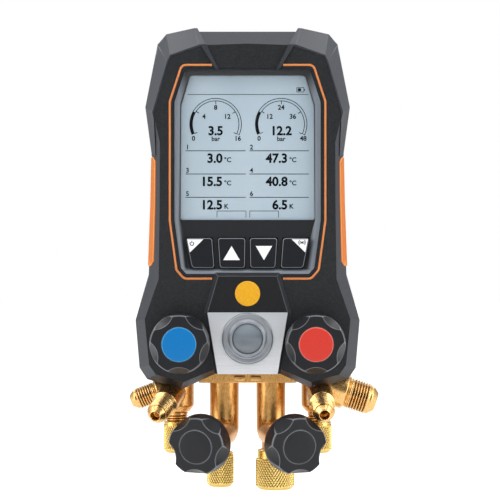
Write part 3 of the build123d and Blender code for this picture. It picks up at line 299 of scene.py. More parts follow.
def thread(start, end, pitch, deep):
    """Relief of a screw thread: a round-bottomed notch that climbs one pitch a turn."""

    def relief(angle, height):
        phase = height / pitch - angle / (2 * pi)
        notch = 0.5 - 0.5 * np.cos(2 * pi * phase)
        return deep * notch * between(height, start, end, pitch * 0.7)

    return relief


def knurl(start, end, count, lean, deep):
    """Relief of a diamond knurl: the deeper of two sets of slanting notches."""

    def relief(angle, height):
        turn = angle * count / (2 * pi)
        notches = [np.abs(2 * ((turn + way * height * lean) % 1.0) - 1) for way in (-1, 1)]
        notch = np.clip(np.maximum(*notches) * 1.6 - 0.6, 0, 1)
        return deep * notch * between(height, start, end, 0.5)

    return relief


# %% [markdown]
# ## Finishes
# Each finish is a set of shader nodes on Object coordinates, so that its grain keeps its real size.
# Colours are written as they look on a screen and turned into linear light. What is the same all
# over a surface is set on the shader itself; what varies comes through noise.

# %% Small tools for finishes


def paint(red, green, blue):
    """A screen colour, 0 to 255, as linear light."""
    share = np.array([red, green, blue]) / 255
    linear = np.where(share <= 0.04045, share / 12.92, ((share + 0.055) / 1.055) ** 2.4)
    return (*linear.tolist(), 1.0)


def connect(tree, socket, value):
    """Links an output to a socket, or sets the socket's own value."""
    if isinstance(value, bpy.types.NodeSocket):
        tree.links.new(value, socket)
    else:
        socket.default_value = value


class Finish:
    """A material whose nodes are added one by one."""

    def __init__(self, name, **sockets):
        self.material = bpy.data.materials.new(name)
        self.material.use_nodes = True
        self.tree = self.material.node_tree
        self.shader = self.tree.nodes["Principled BSDF"]
        for socket, value in sockets.items():
            self.shader.inputs[socket.replace("_", " ")].default_value = value
        self.place = self.add("ShaderNodeTexCoord").outputs["Object"]

    def add(self, kind, **settings):
        node = self.tree.nodes.new(kind)
        for key, value in settings.items():
            setattr(node, key, value)
        return node

    def feed(self, node, **inputs):
        """Sets or links a node's inputs by name, and returns its first output."""
        for socket, value in inputs.items():
            connect(self.tree, node.inputs[socket.replace("_", " ")], value)
        return node.outputs[0]

    def stretched(self, scale):
        """Coordinates stretched by a factor along each axis."""
        return self.feed(self.add("ShaderNodeMapping"), Vector=self.place, Scale=scale)

    def along(self, axis, low, high):
        """0 to 1 between two places along an axis, in millimetres."""
        parts = self.add("ShaderNodeSeparateXYZ")
        self.feed(parts, Vector=self.place)
        return self.band(parts.outputs[axis], low * MM, high * MM)

    def noise(self, size, detail=2.0, vector=None, roughness=0.5):
        """Noise whose blotches are about the given size across, in millimetres."""
        node = self.add("ShaderNodeTexNoise")
        where = vector if vector is not None else self.place
        return self.feed(node, Vector=where, Scale=1 / (size * MM), Detail=detail,
                         Roughness=roughness)

    def band(self, value, low, high, to_low=0.0, to_high=1.0):
        """A value's range from low to high carried over to another range."""
        node = self.add("ShaderNodeMapRange")
        self.feed(node, Value=value, From_Min=low, From_Max=high, To_Min=to_low, To_Max=to_high)
        return node.outputs[0]

    def blend(self, share, first, second):
        """A colour between two colours, or two sockets."""
        node = self.add("ShaderNodeMix", data_type="RGBA")
        for index, value in ((0, share), (6, first), (7, second)):
            connect(self.tree, node.inputs[index], value)
        return node.outputs[2]

    def tones(self, value, dark, light):
        """A colour between two, by a noise whose middle part counts."""
        return self.blend(self.band(value, 0.3, 0.7), dark, light)

    def edge(self, low=0.15, high=0.7):
        """The share of wear and painted edge highlight at a point, from the mark stored on the
        mesh.
        """
        node = self.add("ShaderNodeAttribute", attribute_name="edge")
        return self.band(node.outputs["Fac"], low, high)

    def painted_slope_share(self, start=0.2, full=0.6):
        """Share of painted sheen: 0 on faces that look at the reader or down, 1 on faces turned to
        a side or up.
        """
        parts = self.add("ShaderNodeSeparateXYZ")
        self.feed(parts, Vector=self.place.node.outputs["Normal"])
        aside = self.add("ShaderNodeMath", operation="ABSOLUTE")
        most = self.add("ShaderNodeMath", operation="MAXIMUM")
        connect(self.tree, aside.inputs[0], parts.outputs["X"])
        connect(self.tree, most.inputs[0], aside.outputs[0])
        connect(self.tree, most.inputs[1], parts.outputs["Z"])
        return self.band(most.outputs[0], start, full)

    def bump(self, height, deep):
        """Small relief of a depth in millimetres, felt by the light only."""
        node = self.add("ShaderNodeBump")
        normal = self.feed(node, Height=height, Distance=deep * MM, Strength=1.0)
        self.tree.links.new(normal, self.shader.inputs["Normal"])

    def use(self, **inputs):
        self.feed(self.shader, **inputs)
        return self.material


# %% [markdown]
# ### Moulded plastics and rubbers
# The shells are glass-filled plastic from a spark-eroded mould: dark, with a fine sparkle. The
# bumpers are smoother and catch more light. Handling has polished their edges a little; the paler
# edge colour is partly that wear and partly a painted edge highlight. On some parts, slopes turned
# to a side or up get a painted paler sheen.

# %% Plastics and rubbers


def moulded(name, dark, light, wear_and_gleam, grain, deep, rough, gloss, slope_sheen_colour=None):
    """Grained plastic: speckled colour, grain in relief, painted slope sheen and worn edges with a
    painted highlight.
    """
    finish = Finish(name, Specular_IOR_Level=gloss)
    speck = finish.noise(grain, 3.0, roughness=0.65)
    cloud = finish.noise(22.0, 2.0)
    grains = finish.blend(finish.band(speck, 0.42, 0.68), paint(*dark), paint(*light))
    colour = finish.blend(finish.band(cloud, 0.3, 0.8, 0.0, 0.25), grains, paint(*dark))
    # Painted sheen: slopes turned to a side or up get a paler colour, as if the lamps lit them.
    if slope_sheen_colour:
        colour = finish.blend(finish.painted_slope_share(), colour, paint(*slope_sheen_colour))
    finish.bump(speck, deep)
    # Edges take the worn colour, which is also a painted edge highlight.
    return finish.use(Base_Color=finish.blend(finish.edge(), colour, paint(*wear_and_gleam)),
                      Roughness=finish.band(speck, 0.3, 0.7, rough - 0.06, rough + 0.08))


# dark grain, light grain, worn edge with painted highlight, grain size, relief, roughness, gloss
# and, on some, the painted sheen of slopes
PLASTICS = {
    "housing_plastic": ((13, 15, 18), (34, 37, 42), (92, 95, 101),
                        0.55, 0.04, 0.46, 0.42, (54, 57, 63)),
    "bumper_rubber": ((44, 47, 53), (54, 57, 63), (120, 123, 128),
                      0.3, 0.006, 0.36, 0.5, (62, 65, 71)),
    "grip_rubber": ((204, 114, 48), (216, 128, 62), (240, 160, 92),
                    0.5, 0.02, 0.50, 0.3),
    "trim_plastic": ((208, 120, 60), (220, 134, 74), (240, 162, 100),
                     0.8, 0.008, 0.32, 0.4),
    "bezel_plastic": ((18, 20, 24), (27, 30, 35), (120, 127, 136),
                      0.4, 0.01, 0.36, 0.5, (100, 107, 116)),
    "cover_plastic": ((17, 18, 20), (26, 27, 30), (80, 82, 88),
                      0.4, 0.015, 0.44, 0.3, (36, 38, 42)),
    "knob_plastic": ((22, 23, 27), (29, 30, 34), (116, 118, 124),
                     0.35, 0.01, 0.40, 0.3),
    "key_rubber": ((19, 21, 26), (26, 28, 33), (120, 123, 130),
                   0.35, 0.008, 0.42, 0.25),
    "seal_rubber": ((20, 20, 21), (28, 28, 29), (40, 40, 42),
                    0.3, 0.02, 0.6, 0.2),
    "cap_blue": ((0, 108, 174), (0, 117, 184), (70, 164, 218),
                 0.6, 0.006, 0.38, 0.3),
    "cap_red": ((198, 52, 40), (206, 62, 50), (238, 124, 110),
                0.6, 0.006, 0.38, 0.3),
    "disc_colour": ((222, 160, 26), (230, 172, 40), (248, 210, 130),
                    1.2, 0.006, 0.34, 0.35),
}
plastics = {name: moulded(name, *look) for name, look in PLASTICS.items()}
print("plastics ready")

# %% [markdown]
# ### Metals
# Brass is made in three ways here: hot-forged bodies with a streaked, grainy skin, turned fittings
# with fine rings, and knurled caps. Aluminium is brushed from side to side.

# %% Metals


def brass(name, dark, light, low, grain, deep, rough, stretch=(1, 1, 1)):
    """Brass with blotches, streaks along the stretch, a grain in relief and darker grooves."""
    finish = Finish(name, Metallic=1.0)
    lined = finish.noise(grain, 4.0, finish.stretched(stretch), 0.7)
    blotch = finish.noise(5.0, 3.0)
    tone = finish.tones(lined, dark, light)
    colour = finish.blend(finish.band(blotch, 0.35, 0.75, 0.0, 0.4), tone, dark)
    # Edges take the light tone: partly wear, partly a painted edge highlight.
    colour = finish.blend(finish.edge(), colour, light)
    groove = finish.add("ShaderNodeAttribute", attribute_name="groove").outputs["Fac"]
    finish.bump(lined, deep)
    return finish.use(Base_Color=finish.blend(finish.band(groove, 0.25, 0.9), colour, low),
                      Roughness=finish.band(lined, 0.25, 0.75, rough - 0.08, rough + 0.12))


brass_forged = brass("brass_forged", paint(192, 134, 66), paint(240, 192, 124), paint(112, 68, 24),
                     0.8, 0.006, 0.30, (1, 1, 0.4))
brass_turned = brass("brass_turned", paint(222, 170, 98), paint(246, 208, 144), paint(120, 76, 28),
                     0.6, 0.001, 0.25)
brass_knurled = brass("brass_knurled", paint(208, 172, 88), paint(240, 210, 130),
                      paint(124, 92, 34), 0.6, 0.001, 0.25)


def brushed(name, dark, light, stretch, rough, deep, fade=None, metal=1.0):
    """Brushed metal: long thin streaks in colour and relief, fading to another colour upwards."""
    finish = Finish(name, Metallic=metal)
    streak = finish.noise(1.0, 4.0, finish.stretched(stretch), 0.7)
    finish.bump(streak, deep)
    colour = finish.tones(streak, dark, light)
    if fade:
        low, high, above = fade
        colour = finish.blend(finish.along(2, low, high), colour, above)
    return finish.use(Base_Color=colour,
                      Roughness=finish.band(streak, 0.3, 0.7, rough - 0.06, rough + 0.1))


brushed_plate = brushed("brushed_plate", paint(226, 228, 232), paint(246, 247, 249),
                        (0.06, 1, 3.5), 0.36, 0.008, (-148.0, -117.0, paint(190, 194, 199)), 0.3)


def turned_grey():
    """Finely turned aluminium: an even grey, broad faint clouds and a soft gloss."""
    finish = Finish("ring_metal", Metallic=0.6)
    cloud = finish.noise(9.0, 1.0)
    tone = finish.tones(cloud, paint(156, 161, 168), paint(170, 175, 182))
    return finish.use(Base_Color=tone, Roughness=finish.band(cloud, 0.3, 0.7, 0.30, 0.38))


ring_metal = turned_grey()
steel = brushed("steel", paint(150, 152, 156), paint(190, 192, 196), (0.5, 1, 2.5), 0.34, 0.01)
print("metals ready")

# %% [markdown]
# ### Display, glass and the pieces inside
# The display is a pale blue-grey reflective panel behind a clear window. The window lets light
# through by its alpha, which stays clean in an export. The board and the cells are seen only when
# the battery cover is off.

# %% Display, glass and inner finishes


def clouded(name, size, detail, dark, light, **sockets):
    """A plain tone with faint clouds of another in it."""
    finish = Finish(name, **sockets)
    return finish.use(Base_Color=finish.tones(finish.noise(size, detail), dark, light))


lcd_ground = clouded("lcd_ground", 38.0, 1.0, paint(184, 203, 216), paint(196, 213, 224),
                     Roughness=0.30)
lcd_ink = clouded("lcd_ink", 2.0, 2.0, paint(8, 12, 18), paint(18, 24, 31), Roughness=0.5,
                  Specular_IOR_Level=0.1)
white_marks = clouded("white_print", 0.6, 2.0, paint(232, 233, 238), paint(246, 247, 250),
                      Roughness=0.5)


def window_clear():
    """A clear pane: nearly nothing but its gloss, with faint smears in it."""
    finish = Finish("window_glass", Roughness=0.06, IOR=1.49, Alpha=0.07)
    smear = finish.noise(14.0, 3.0)
    return finish.use(Base_Color=paint(40, 44, 48),
                      Roughness=finish.band(smear, 0.4, 0.8, 0.04, 0.14))


def sight_lens_glass():
    """Thick grey-blue glass with painted level streaks of reflection, and a painted paler
    reflection towards the top.
    """
    finish = Finish("sight_lens", IOR=1.52, Coat_Weight=1.0, Coat_Roughness=0.05)
    # Painted reflection: long level streaks of lighter and darker grey.
    reflection_streaks = finish.noise(3.0, 1.0, finish.stretched((0.3, 1, 1)))
    tone = finish.tones(reflection_streaks, paint(100, 110, 118), paint(116, 126, 134))
    # Painted reflection: the glass turns paler towards the top.
    tone = finish.blend(finish.along(2, -133.0, -126.0), tone, paint(146, 156, 164))
    return finish.use(Base_Color=tone, Roughness=finish.band(reflection_streaks, 0.3, 0.7, 0.10, 0.16))


def board_green():
    """Circuit board: green lacquer over faint tracks."""
    finish = Finish("board", Roughness=0.35)
    tracks = finish.noise(2.2, 1.0, finish.stretched((0.4, 1, 1.6)))
    finish.bump(tracks, 0.02)
    return finish.use(Base_Color=finish.blend(finish.band(tracks, 0.48, 0.52), paint(16, 72, 44),
                                              paint(28, 96, 60)))


def cell_sleeve():
    """Printed foil sleeve of a cell, plain, with fine creases."""
    finish = Finish("cell_wrap", Roughness=0.3, Metallic=0.3)
    crease = finish.noise(3.0, 3.0)
    finish.bump(crease, 0.03)
    return finish.use(Base_Color=finish.blend(crease, paint(60, 66, 76), paint(84, 90, 100)))


window_glass, sight_lens = window_clear(), sight_lens_glass()
board, cell_wrap = board_green(), cell_sleeve()
finishes = {**plastics, "brass": brass_forged, "brass_turned": brass_turned, "steel": steel,
            "brushed_plate": brushed_plate, "board": board, "cell_wrap": cell_wrap}
print("display and inner finishes ready")

# %% [markdown]
# ## Camera, light and floor
# The camera stands almost a metre in front and level with the middle of the instrument. Large soft
# lamps above and at both sides give the long pale gleams on the slopes, and two narrow strips give
# the small sharp ones on brass and glass. A floor lies well below, because the instrument hangs.

# %% Camera
CAMERA_PLACE = (0.0012, -0.925, -0.0887)
CAMERA_LENS = 127.8
camera_data = bpy.data.cameras.new("camera")
camera_data.lens = CAMERA_LENS
camera_data.sensor_width = 36.0
camera = into_scene("camera", camera_data)
camera.location = CAMERA_PLACE
camera.rotation_euler = (radians(90), 0, 0)
bpy.context.scene.camera = camera
bpy.context.scene.view_settings.view_transform = "Standard"

# %% Lamps: name, place, width, height and watts
LAMP_TARGET = (0, -0.02, -0.09)
LAMPS = {
    "lamp_top": ((0.0, -0.35, 0.85), 1.1, 0.7, 6.0),
    "lamp_left": ((-0.85, -0.42, 0.05), 0.5, 1.1, 5.5),
    "lamp_right": ((0.85, -0.42, 0.05), 0.5, 1.1, 5.5),
    "lamp_back": ((0.0, 0.8, 0.5), 1.2, 0.6, 5.0),
    "strip_left": ((-0.55, -0.62, 0.25), 0.07, 0.6, 0.9),
    "strip_right": ((0.6, -0.55, 0.1), 0.06, 0.6, 0.6),
}


def aim(item, place, target):
    """Stands an object at a place with its -Z towards the target."""
    item.location = place
    item.rotation_euler = Vector(np.subtract(target, place)).to_track_quat("-Z", "Y").to_euler()


for name, (place, wide, high, watts) in LAMPS.items():
    lamp_data = bpy.data.lights.new(name, "AREA")
    lamp_data.shape = "RECTANGLE"
    lamp_data.size, lamp_data.size_y = wide, high
    lamp_data.energy = watts
    aim(into_scene(name, lamp_data), place, LAMP_TARGET)

# %% [markdown]
# ## A white room with a dim side
# A white surface all round would light every face alike. So the room tells rays apart: the camera
# sees pure white, soft light comes at a lower strength, and gloss finds the room dim behind the
# camera and behind the part. Fronts stay dark, slopes gleam, and brass gets its dark bands.

# %% Small tools for the room


class Room:
    """Small tools for the node trees of the world and the floor."""

    def __init__(self, tree):
        self.tree = tree
        self.path = tree.nodes.new("ShaderNodeLightPath")

    def math(self, operation, first, second):
        node = self.tree.nodes.new("ShaderNodeMath")
        node.operation = operation
        for socket, value in zip(node.inputs, (first, second)):
            connect(self.tree, socket, value)
        return node.outputs[0]

    def fade(self, value, span, to_low, to_high):
        """A value's span carried smoothly over to another range."""
        node = self.tree.nodes.new("ShaderNodeMapRange")
        node.interpolation_type = "SMOOTHSTEP"
        names = ("Value", "From Min", "From Max", "To Min", "To Max")
        for name, given in zip(names, (value, *span, to_low, to_high)):
            connect(self.tree, node.inputs[name], given)
        return node.outputs[0]

    def seen(self, *kinds):
        """1 for rays of these kinds, and 0 for all others."""
        total = 0.0
        for kind in kinds:
            total = self.math("MAXIMUM", total, self.path.outputs[f"Is {kind} Ray"])
        return total


# %% World
ROOM_LIGHT = 0.44
DIM_FRONT, FRONT_SPAN = 0.14, (-0.95, 0.0)
DIM_REAR, REAR_SPAN = 0.45, (0.1, 0.7)


def white_room():
    """A white world that lights softly; for gloss it dims behind the camera and behind the part."""
    world = bpy.data.worlds.new("white_room")
    world.use_nodes = True
    tree = world.node_tree
    room = Room(tree)
    way = tree.nodes.new("ShaderNodeTexCoord")
    parts = tree.nodes.new("ShaderNodeSeparateXYZ")
    connect(tree, parts.inputs[0], way.outputs["Generated"])
    front = room.fade(parts.outputs["Y"], FRONT_SPAN, DIM_FRONT, 1.0)
    rear = room.fade(parts.outputs["Y"], REAR_SPAN, 1.0, DIM_REAR)
    gloss = room.math("MULTIPLY", room.seen("Glossy"), room.math("MULTIPLY", front, rear))
    neither = room.math("SUBTRACT", 1.0, room.seen("Glossy", "Camera", "Transmission"))
    strength = room.math("ADD", room.seen("Camera", "Transmission"), gloss)
    strength = room.math("ADD", strength, room.math("MULTIPLY", neither, ROOM_LIGHT))
    ground = tree.nodes["Background"]
    connect(tree, ground.inputs["Color"], (1, 1, 1, 1))
    connect(tree, ground.inputs["Strength"], strength)
    bpy.context.scene.world = world


white_room()

# %% Floor
FLOOR_Z = -0.27
FLOOR_HALF = 5.0
FLOOR_GLOW = 0.82
FLOOR_GLOSS = 0.35


def pale_floor():
    """A matt floor that keeps the shadow and fades into the white room."""
    sides = ((-1, -1), (1, -1), (1, 1), (-1, 1))
    corners = [(x * FLOOR_HALF, y * FLOOR_HALF, FLOOR_Z) for x, y in sides]
    mesh = bpy.data.meshes.new("floor")
    mesh.from_pydata(corners, [], [(0, 1, 2, 3)])
    item = into_scene("floor", mesh)
    material = bpy.data.materials.new("floor")
    material.use_nodes = True
    tree = material.node_tree
    room = Room(tree)
    shader = tree.nodes["Principled BSDF"]
    connect(tree, shader.inputs["Base Color"], paint(225, 225, 225))
    connect(tree, shader.inputs["Roughness"], 1.0)
    connect(tree, shader.inputs["Specular IOR Level"], 0.0)
    glow = tree.nodes.new("ShaderNodeEmission")
    seen = room.math("MULTIPLY", room.seen("Camera", "Transmission"), FLOOR_GLOW)
    mirrored = room.math("MULTIPLY", room.seen("Glossy"), FLOOR_GLOSS)
    connect(tree, glow.inputs["Strength"], room.math("ADD", seen, mirrored))
    both = tree.nodes.new("ShaderNodeAddShader")
    connect(tree, both.inputs[0], shader.outputs[0])
    connect(tree, both.inputs[1], glow.outputs[0])
    connect(tree, tree.nodes["Material Output"].inputs["Surface"], both.outputs[0])
    mesh.materials.append(material)


pale_floor()

# %% [markdown]
# ## Moulded pieces from their solids
# The shells, covers, bumpers and brass bodies already have their right form as solids, but every
# corner on them is knife-sharp, which no moulding is. Each gets a copy whose outward corners are
# rounded: loose triangles are merged, flat regions made whole, and a bevel runs along every
# convex edge that can be seen from outside.

# %% A solid with its outward edges rounded
MERGE = 2e-6
FLAT = radians(0.4)
CORNER = radians(17)
EVENED_WEIGHT = 90


def softened(name, node, width, finish, slot, shortest=0.6, segments=3):
    """A copy of a solid with a bevel of this width, in millimetres, along its open edges."""
    mesh = NODES[node].data.copy()
    mesh.name = name
    shape = bmesh.new()
    shape.from_mesh(mesh)
    bmesh.ops.remove_doubles(shape, verts=shape.verts, dist=MERGE)
    bmesh.ops.dissolve_limit(shape, angle_limit=FLAT, verts=shape.verts, edges=shape.edges)
    chosen = open_edges(shape, shortest * MM)
    bmesh.ops.bevel(shape, geom=chosen, offset=width * MM, segments=segments, profile=0.5,
                    affect="EDGES", clamp_overlap=True, loop_slide=True)
    shape.to_mesh(mesh)
    shape.free()
    mark_edges(mesh)
    print(name, len(chosen), "edges rounded,", len(mesh.polygons), "faces")
    item = evened(new_object(name, mesh))
    return dress(item, finish, body_of(node), slot, node)


def evened(item):
    """Lets the largest face at a corner set its shading, so flats stay flat next to rounds."""
    weighted = item.modifiers.new("evened", "WEIGHTED_NORMAL")
    weighted.weight = EVENED_WEIGHT
    weighted.keep_sharp = True
    mesh = worked_out(item)
    item.modifiers.clear()
    item.data = mesh
    return item


def body_of(node):
    return NODES[node]["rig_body"]


def open_edges(shape, shortest):
    """Convex edges whose outward direction meets nothing of the same piece."""
    tree = BVHTree.FromBMesh(shape)
    chosen = []
    for edge in shape.edges:
        if len(edge.link_faces) != 2 or not edge.is_convex or edge.calc_length() < shortest:
            continue
        if edge.calc_face_angle() < CORNER:
            continue
        outward = (edge.link_faces[0].normal + edge.link_faces[1].normal).normalized()
        middle = (edge.verts[0].co + edge.verts[1].co) / 2
        if tree.ray_cast(middle + outward * 1e-5, outward)[0] is None:
            chosen.append(edge)
    return chosen


# width of the rounding, slot and shortest edge rounded
SOFTENED = {
    "front_housing": (0.9, "housing_plastic", 1.5),
    "rear_housing": (0.8, "housing_plastic", 1.5),
    "corner_bumper_left": (1.1, "bumper_rubber", 0.6),
    "corner_bumper_right": (1.1, "bumper_rubber", 0.6),
    "side_grip_left": (0.3, "grip_rubber", 0.6),
    "side_grip_right": (0.3, "grip_rubber", 0.6),
    "display_bezel": (0.3, "bezel_plastic", 0.6),
    "centre_cover": (0.4, "cover_plastic", 0.6),
    "face_plate": (0.12, "brushed_plate", 0.6),
    "valve_block": (0.5, "brass", 1.0),
    "hook": (0.4, "steel", 0.3),
    "battery_cover": (0.4, "housing_plastic", 0.6),
}
for node, (width, slot, shortest) in SOFTENED.items():
    softened(f"{node}_moulded", node, width, finishes[slot], slot, shortest)

# %% [markdown]
# ## The line round the display
# A coloured bead is pressed into a groove round the display, in two halves. Its section is a small
# dome, so it shows one thin gleam. The dome is carried along a path with rounded corners.

# %% A section carried along a path


def corner_cuts(corners, radius):
    """How far back from each corner a round of this radius starts: radius x tan(half the turn)."""
    corners = np.asarray(corners, float)
    into, onward = corners - np.roll(corners, 1, 0), np.roll(corners, -1, 0) - corners
    turn = np.arctan2(into[:, 1], into[:, 0]) - np.arctan2(onward[:, 1], onward[:, 0])
    turn = np.abs((turn + pi) % (2 * pi) - pi)
    return radius * np.tan(np.minimum(turn, 2.8) / 2)[:, None]


def carried(path, section, out=(0, -1, 0)):
    """Rings of a section of (across, out) points set square to a path of points in space."""
    ahead = np.gradient(path, axis=0)
    ahead /= np.linalg.norm(ahead, axis=1, keepdims=True)
    out = np.asarray(out, float)
    across = np.cross(ahead, out)
    return path[:, None] + across[:, None] * section[None, :, :1] + out * section[None, :, 1:]


TRIM_CORNERS = [(17.6, 2.9), (32.6, 2.9), (38.5, -15.2), (38.5, -74.2), (35.2, -98.6),
                (31.4, -102.9), (17.6, -102.9)]
TRIM_RADIUS = 3.2
TRIM_HALF = 0.62
TRIM_FACE_Y = -47.0
TRIM_DEEP = 1.3
dome = np.linspace(0, pi, 13)
bead = np.stack([TRIM_HALF * np.cos(dome), -0.45 + 0.45 * np.sin(dome)], -1)
bead = np.vstack([bead, [(-TRIM_HALF, -TRIM_DEEP), (TRIM_HALF, -TRIM_DEEP)]])
for side, end in ((-1, "left"), (1, "right")):
    cuts = corner_cuts(TRIM_CORNERS, TRIM_RADIUS)
    flat = resampled(rounded(TRIM_CORNERS, cuts, steps=9), 1.2)
    path = np.stack([side * flat[:, 0], np.full(len(flat), TRIM_FACE_Y), flat[:, 1]], -1)
    piece(f"trim_bead_{end}", [closed_shell(carried(path, bead))], plastics["trim_plastic"], "root",
          "trim_plastic", f"trim_line_{end}")

# %% [markdown]
# ## Display panel and its marks
# The panel sits a little behind the window. Its marks are plain figures, two part-round scales and
# thin lines, as on any gauge. They are flat solids that stand a hair's breadth off the panel.

# %% The panel and the window
WINDOW = [(-28.4, -1.9), (28.4, -1.9), (33.0, -17.1), (33.3, -73.7), (-33.3, -73.7), (-33.0, -17.1)]
PANEL_Y = -42.0
PANE_FRONT_Y = -43.3
PANE_BACK_Y = -42.4
BEZEL_BACK_Y = -40.0


def stepped(outline, steps):
    """A closed shell through copies of an outline, each at its own y and drawn in a little."""
    line = np.asarray(outline, float)
    away = line - line.mean(0)
    reach = np.maximum(np.linalg.norm(away, axis=1, keepdims=True), 1e-9)
    rings = []
    for y, inward in steps:
        shape = line - away * (inward / reach)
        rings.append(np.stack([shape[:, 0], np.full(len(shape), y), shape[:, 1]], -1))
    return closed_shell(np.stack(rings))


def slab(outline, front, back, cut, inset=0.15):
    """A closed slab with a rounded outline and a small chamfer round its front."""
    steps = ((back, 0.0), (front + inset, 0.0), (front, inset))
    return stepped(rounded(outline, cut, closed=True), steps)


piece("display_panel", [slab(WINDOW, PANEL_Y, BEZEL_BACK_Y, 1.0, 0.02)], lcd_ground, "root", "lcd")
piece("display_pane", [slab(WINDOW, PANE_FRONT_Y, PANE_BACK_Y, 1.0)], window_glass, "root",
      "window_glass", "display_window")

# %% Flat marks
MARK_HIGH = 0.03
FIGURE_SHARE = 0.70


def flat_mark(outline, y):
    """A thin solid with this outline, standing off a face at y towards the reader."""
    return stepped(outline, ((y, 0.0), (y - MARK_HIGH, 0.0)))


def mark_box(x0, x1, z0, z1, y):
    """A thin box in front of a face at y."""
    return flat_mark([(x0, z0), (x1, z0), (x1, z1), (x0, z1)], y)


def arc_mark(centre, inner, outer, start, end, y):
    """Part of a flat ring between two angles, in degrees, as a closed strip."""
    angle = np.radians(np.linspace(start, end, 49))
    section = np.array([(inner, 0), (outer, 0), (outer, MARK_HIGH), (inner, MARK_HIGH)])
    reach, high = section[None, :, 0], section[None, :, 1]
    rings = np.stack([centre[0] + reach * np.cos(angle)[:, None], y - high + 0 * angle[:, None],
                      centre[1] + reach * np.sin(angle)[:, None]], -1)
    return closed_shell(rings)


def text_mark(body, place, y, style, lean="CENTER"):
    """Figures as thin solids at a place; a style is a figure's height and its added weight."""
    high, weight = style
    curve = bpy.data.curves.new("figures", "FONT")
    curve.body = body
    curve.align_x, curve.align_y = lean, "CENTER"
    curve.size = high / FIGURE_SHARE
    curve.offset = weight
    curve.extrude = MARK_HIGH / 2
    curve.resolution_u = 3
    holder = into_scene("figures", curve)
    mesh = worked_out(holder)
    right, up, out = read(mesh.vertices, "co", 3).T
    points = np.stack([place[0] + right, y - MARK_HIGH / 2 - out, place[1] + up], -1)
    faces = [np.array([list(polygon.vertices)]) for polygon in mesh.polygons]
    bpy.data.objects.remove(holder)
    bpy.data.meshes.remove(mesh)
    return points, faces


# %% The two scales and the figures
INK_Y = PANEL_Y
SCALES = {-15.9: ("3.5", ("0", "4", "8", "12", "16")),
          16.7: ("12.2", ("0", "12", "24", "36", "48"))}
SCALE_Z = -26.1
SCALE_R = 13.0
SCALE_WIDE = 1.6
SCALE_START, SCALE_END = 204.0, -25.0
READING = 150.0
LINE = 0.36
THIN_LINE = 0.28
TICK_LONG, TICK_HALF, END_TICK = 1.5, 1.0, 1.2
SCALE_LABEL, SCALE_READING, SCALE_UNIT = (2.3, 0.10), (4.3, 0.22), (2.2, 0.08)
READING_DROP, UNIT_DROP = 3.5, 7.4
LABEL_PLACES = ((-11.0, -7.2), (-5.8, 3.7), (0.0, 8.2), (5.8, 3.7), (11.0, -7.2))


def scale_marks(x, reading, labels):
    """One part-round scale: outlined band, filled part, ticks, labels and its reading."""
    centre = (x, SCALE_Z)
    inside = SCALE_R - SCALE_WIDE
    marks = [arc_mark(centre, SCALE_R - LINE, SCALE_R, SCALE_END, SCALE_START, INK_Y),
             arc_mark(centre, inside, inside + LINE, SCALE_END, SCALE_START, INK_Y),
             arc_mark(centre, inside, SCALE_R, READING, SCALE_START, INK_Y),
             arc_mark(centre, inside, SCALE_R, SCALE_END, SCALE_END + END_TICK, INK_Y)]
    for k, (label, (right, up)) in enumerate(zip(labels, LABEL_PLACES)):
        degrees = SCALE_START + (SCALE_END - SCALE_START) * k / (len(labels) - 1)
        marks.append(arc_mark(centre, inside - TICK_LONG, inside, degrees - TICK_HALF,
                              degrees + TICK_HALF, INK_Y))
        marks.append(text_mark(label, (x + right, SCALE_Z + up), INK_Y, SCALE_LABEL))
    marks.append(text_mark(reading, (x, SCALE_Z - READING_DROP), INK_Y, SCALE_READING))
    marks.append(text_mark("bar", (x, SCALE_Z - UNIT_DROP), INK_Y, SCALE_UNIT))
    return marks


def level_line(x0, x1, z, wide=THIN_LINE):
    return mark_box(x0, x1, z - wide / 2, z + wide / 2, INK_Y)


def upright_line(x, z0, z1, wide=THIN_LINE):
    return mark_box(x - wide / 2, x + wide / 2, z0, z1, INK_Y)


ink = []
for x, (reading, labels) in SCALES.items():
    ink += scale_marks(x, reading, labels)
print("scales:", len(ink), "marks")

# %% The rows of readings
ROW_LINES = (-39.35, -50.9, -62.5)
ROW_READINGS = (("3.0", "47.3"), ("15.5", "40.8"), ("12.5", "6.5"))
ROW_UNITS = ("°C", "°C", "K")
COLUMNS = ((-30.9, -1.0, -12.5), (0.95, 30.5, 19.9))
ROW_NUMBER, ROW_READING, ROW_UNIT = (2.3, 0.08), (4.4, 0.22), (2.3, 0.09)
NUMBER_IN, NUMBER_UP = 1.0, 1.7
ROW_DROP, ROW_UNIT_DROP, UNIT_GAP = 3.95, 4.6, 0.8
for row, (line_z, readings) in enumerate(zip(ROW_LINES, ROW_READINGS)):
    for column, (x0, x1, right) in enumerate(COLUMNS):
        ink.append(level_line(x0, x1, line_z, LINE))
        number = str(2 * row + column + 1)
        reading, measure = readings[column], ROW_UNITS[row]
        unit_place = (right + UNIT_GAP, line_z - ROW_UNIT_DROP)
        ink += [text_mark(number, (x0 + NUMBER_IN, line_z + NUMBER_UP), INK_Y, ROW_NUMBER),
                text_mark(reading, (right, line_z - ROW_DROP), INK_Y, ROW_READING, "RIGHT"),
                text_mark(measure, unit_place, INK_Y, ROW_UNIT, "LEFT")]

# %% The head line, the cell sign and the two small frames
OPEN_FRAMES = ((24.5, 28.0, -10.1, -7.9), (-15.2, -0.8, -72.5, -69.3), (1.1, 15.4, -72.5, -69.3))
ink.append(level_line(-29.9, 30.1, -11.35))
for x0, x1, z0, z1 in OPEN_FRAMES:
    ink += [upright_line(x0, z0, z1), upright_line(x1, z0, z1), level_line(x0, x1, z1)]
ink += [level_line(24.5, 28.0, -10.1), mark_box(28.0, 28.5, -9.4, -8.6, INK_Y),
        mark_box(25.0, 26.6, -9.7, -8.3, INK_Y)]
piece("display_marks", ink, lcd_ink, "root", "lcd")
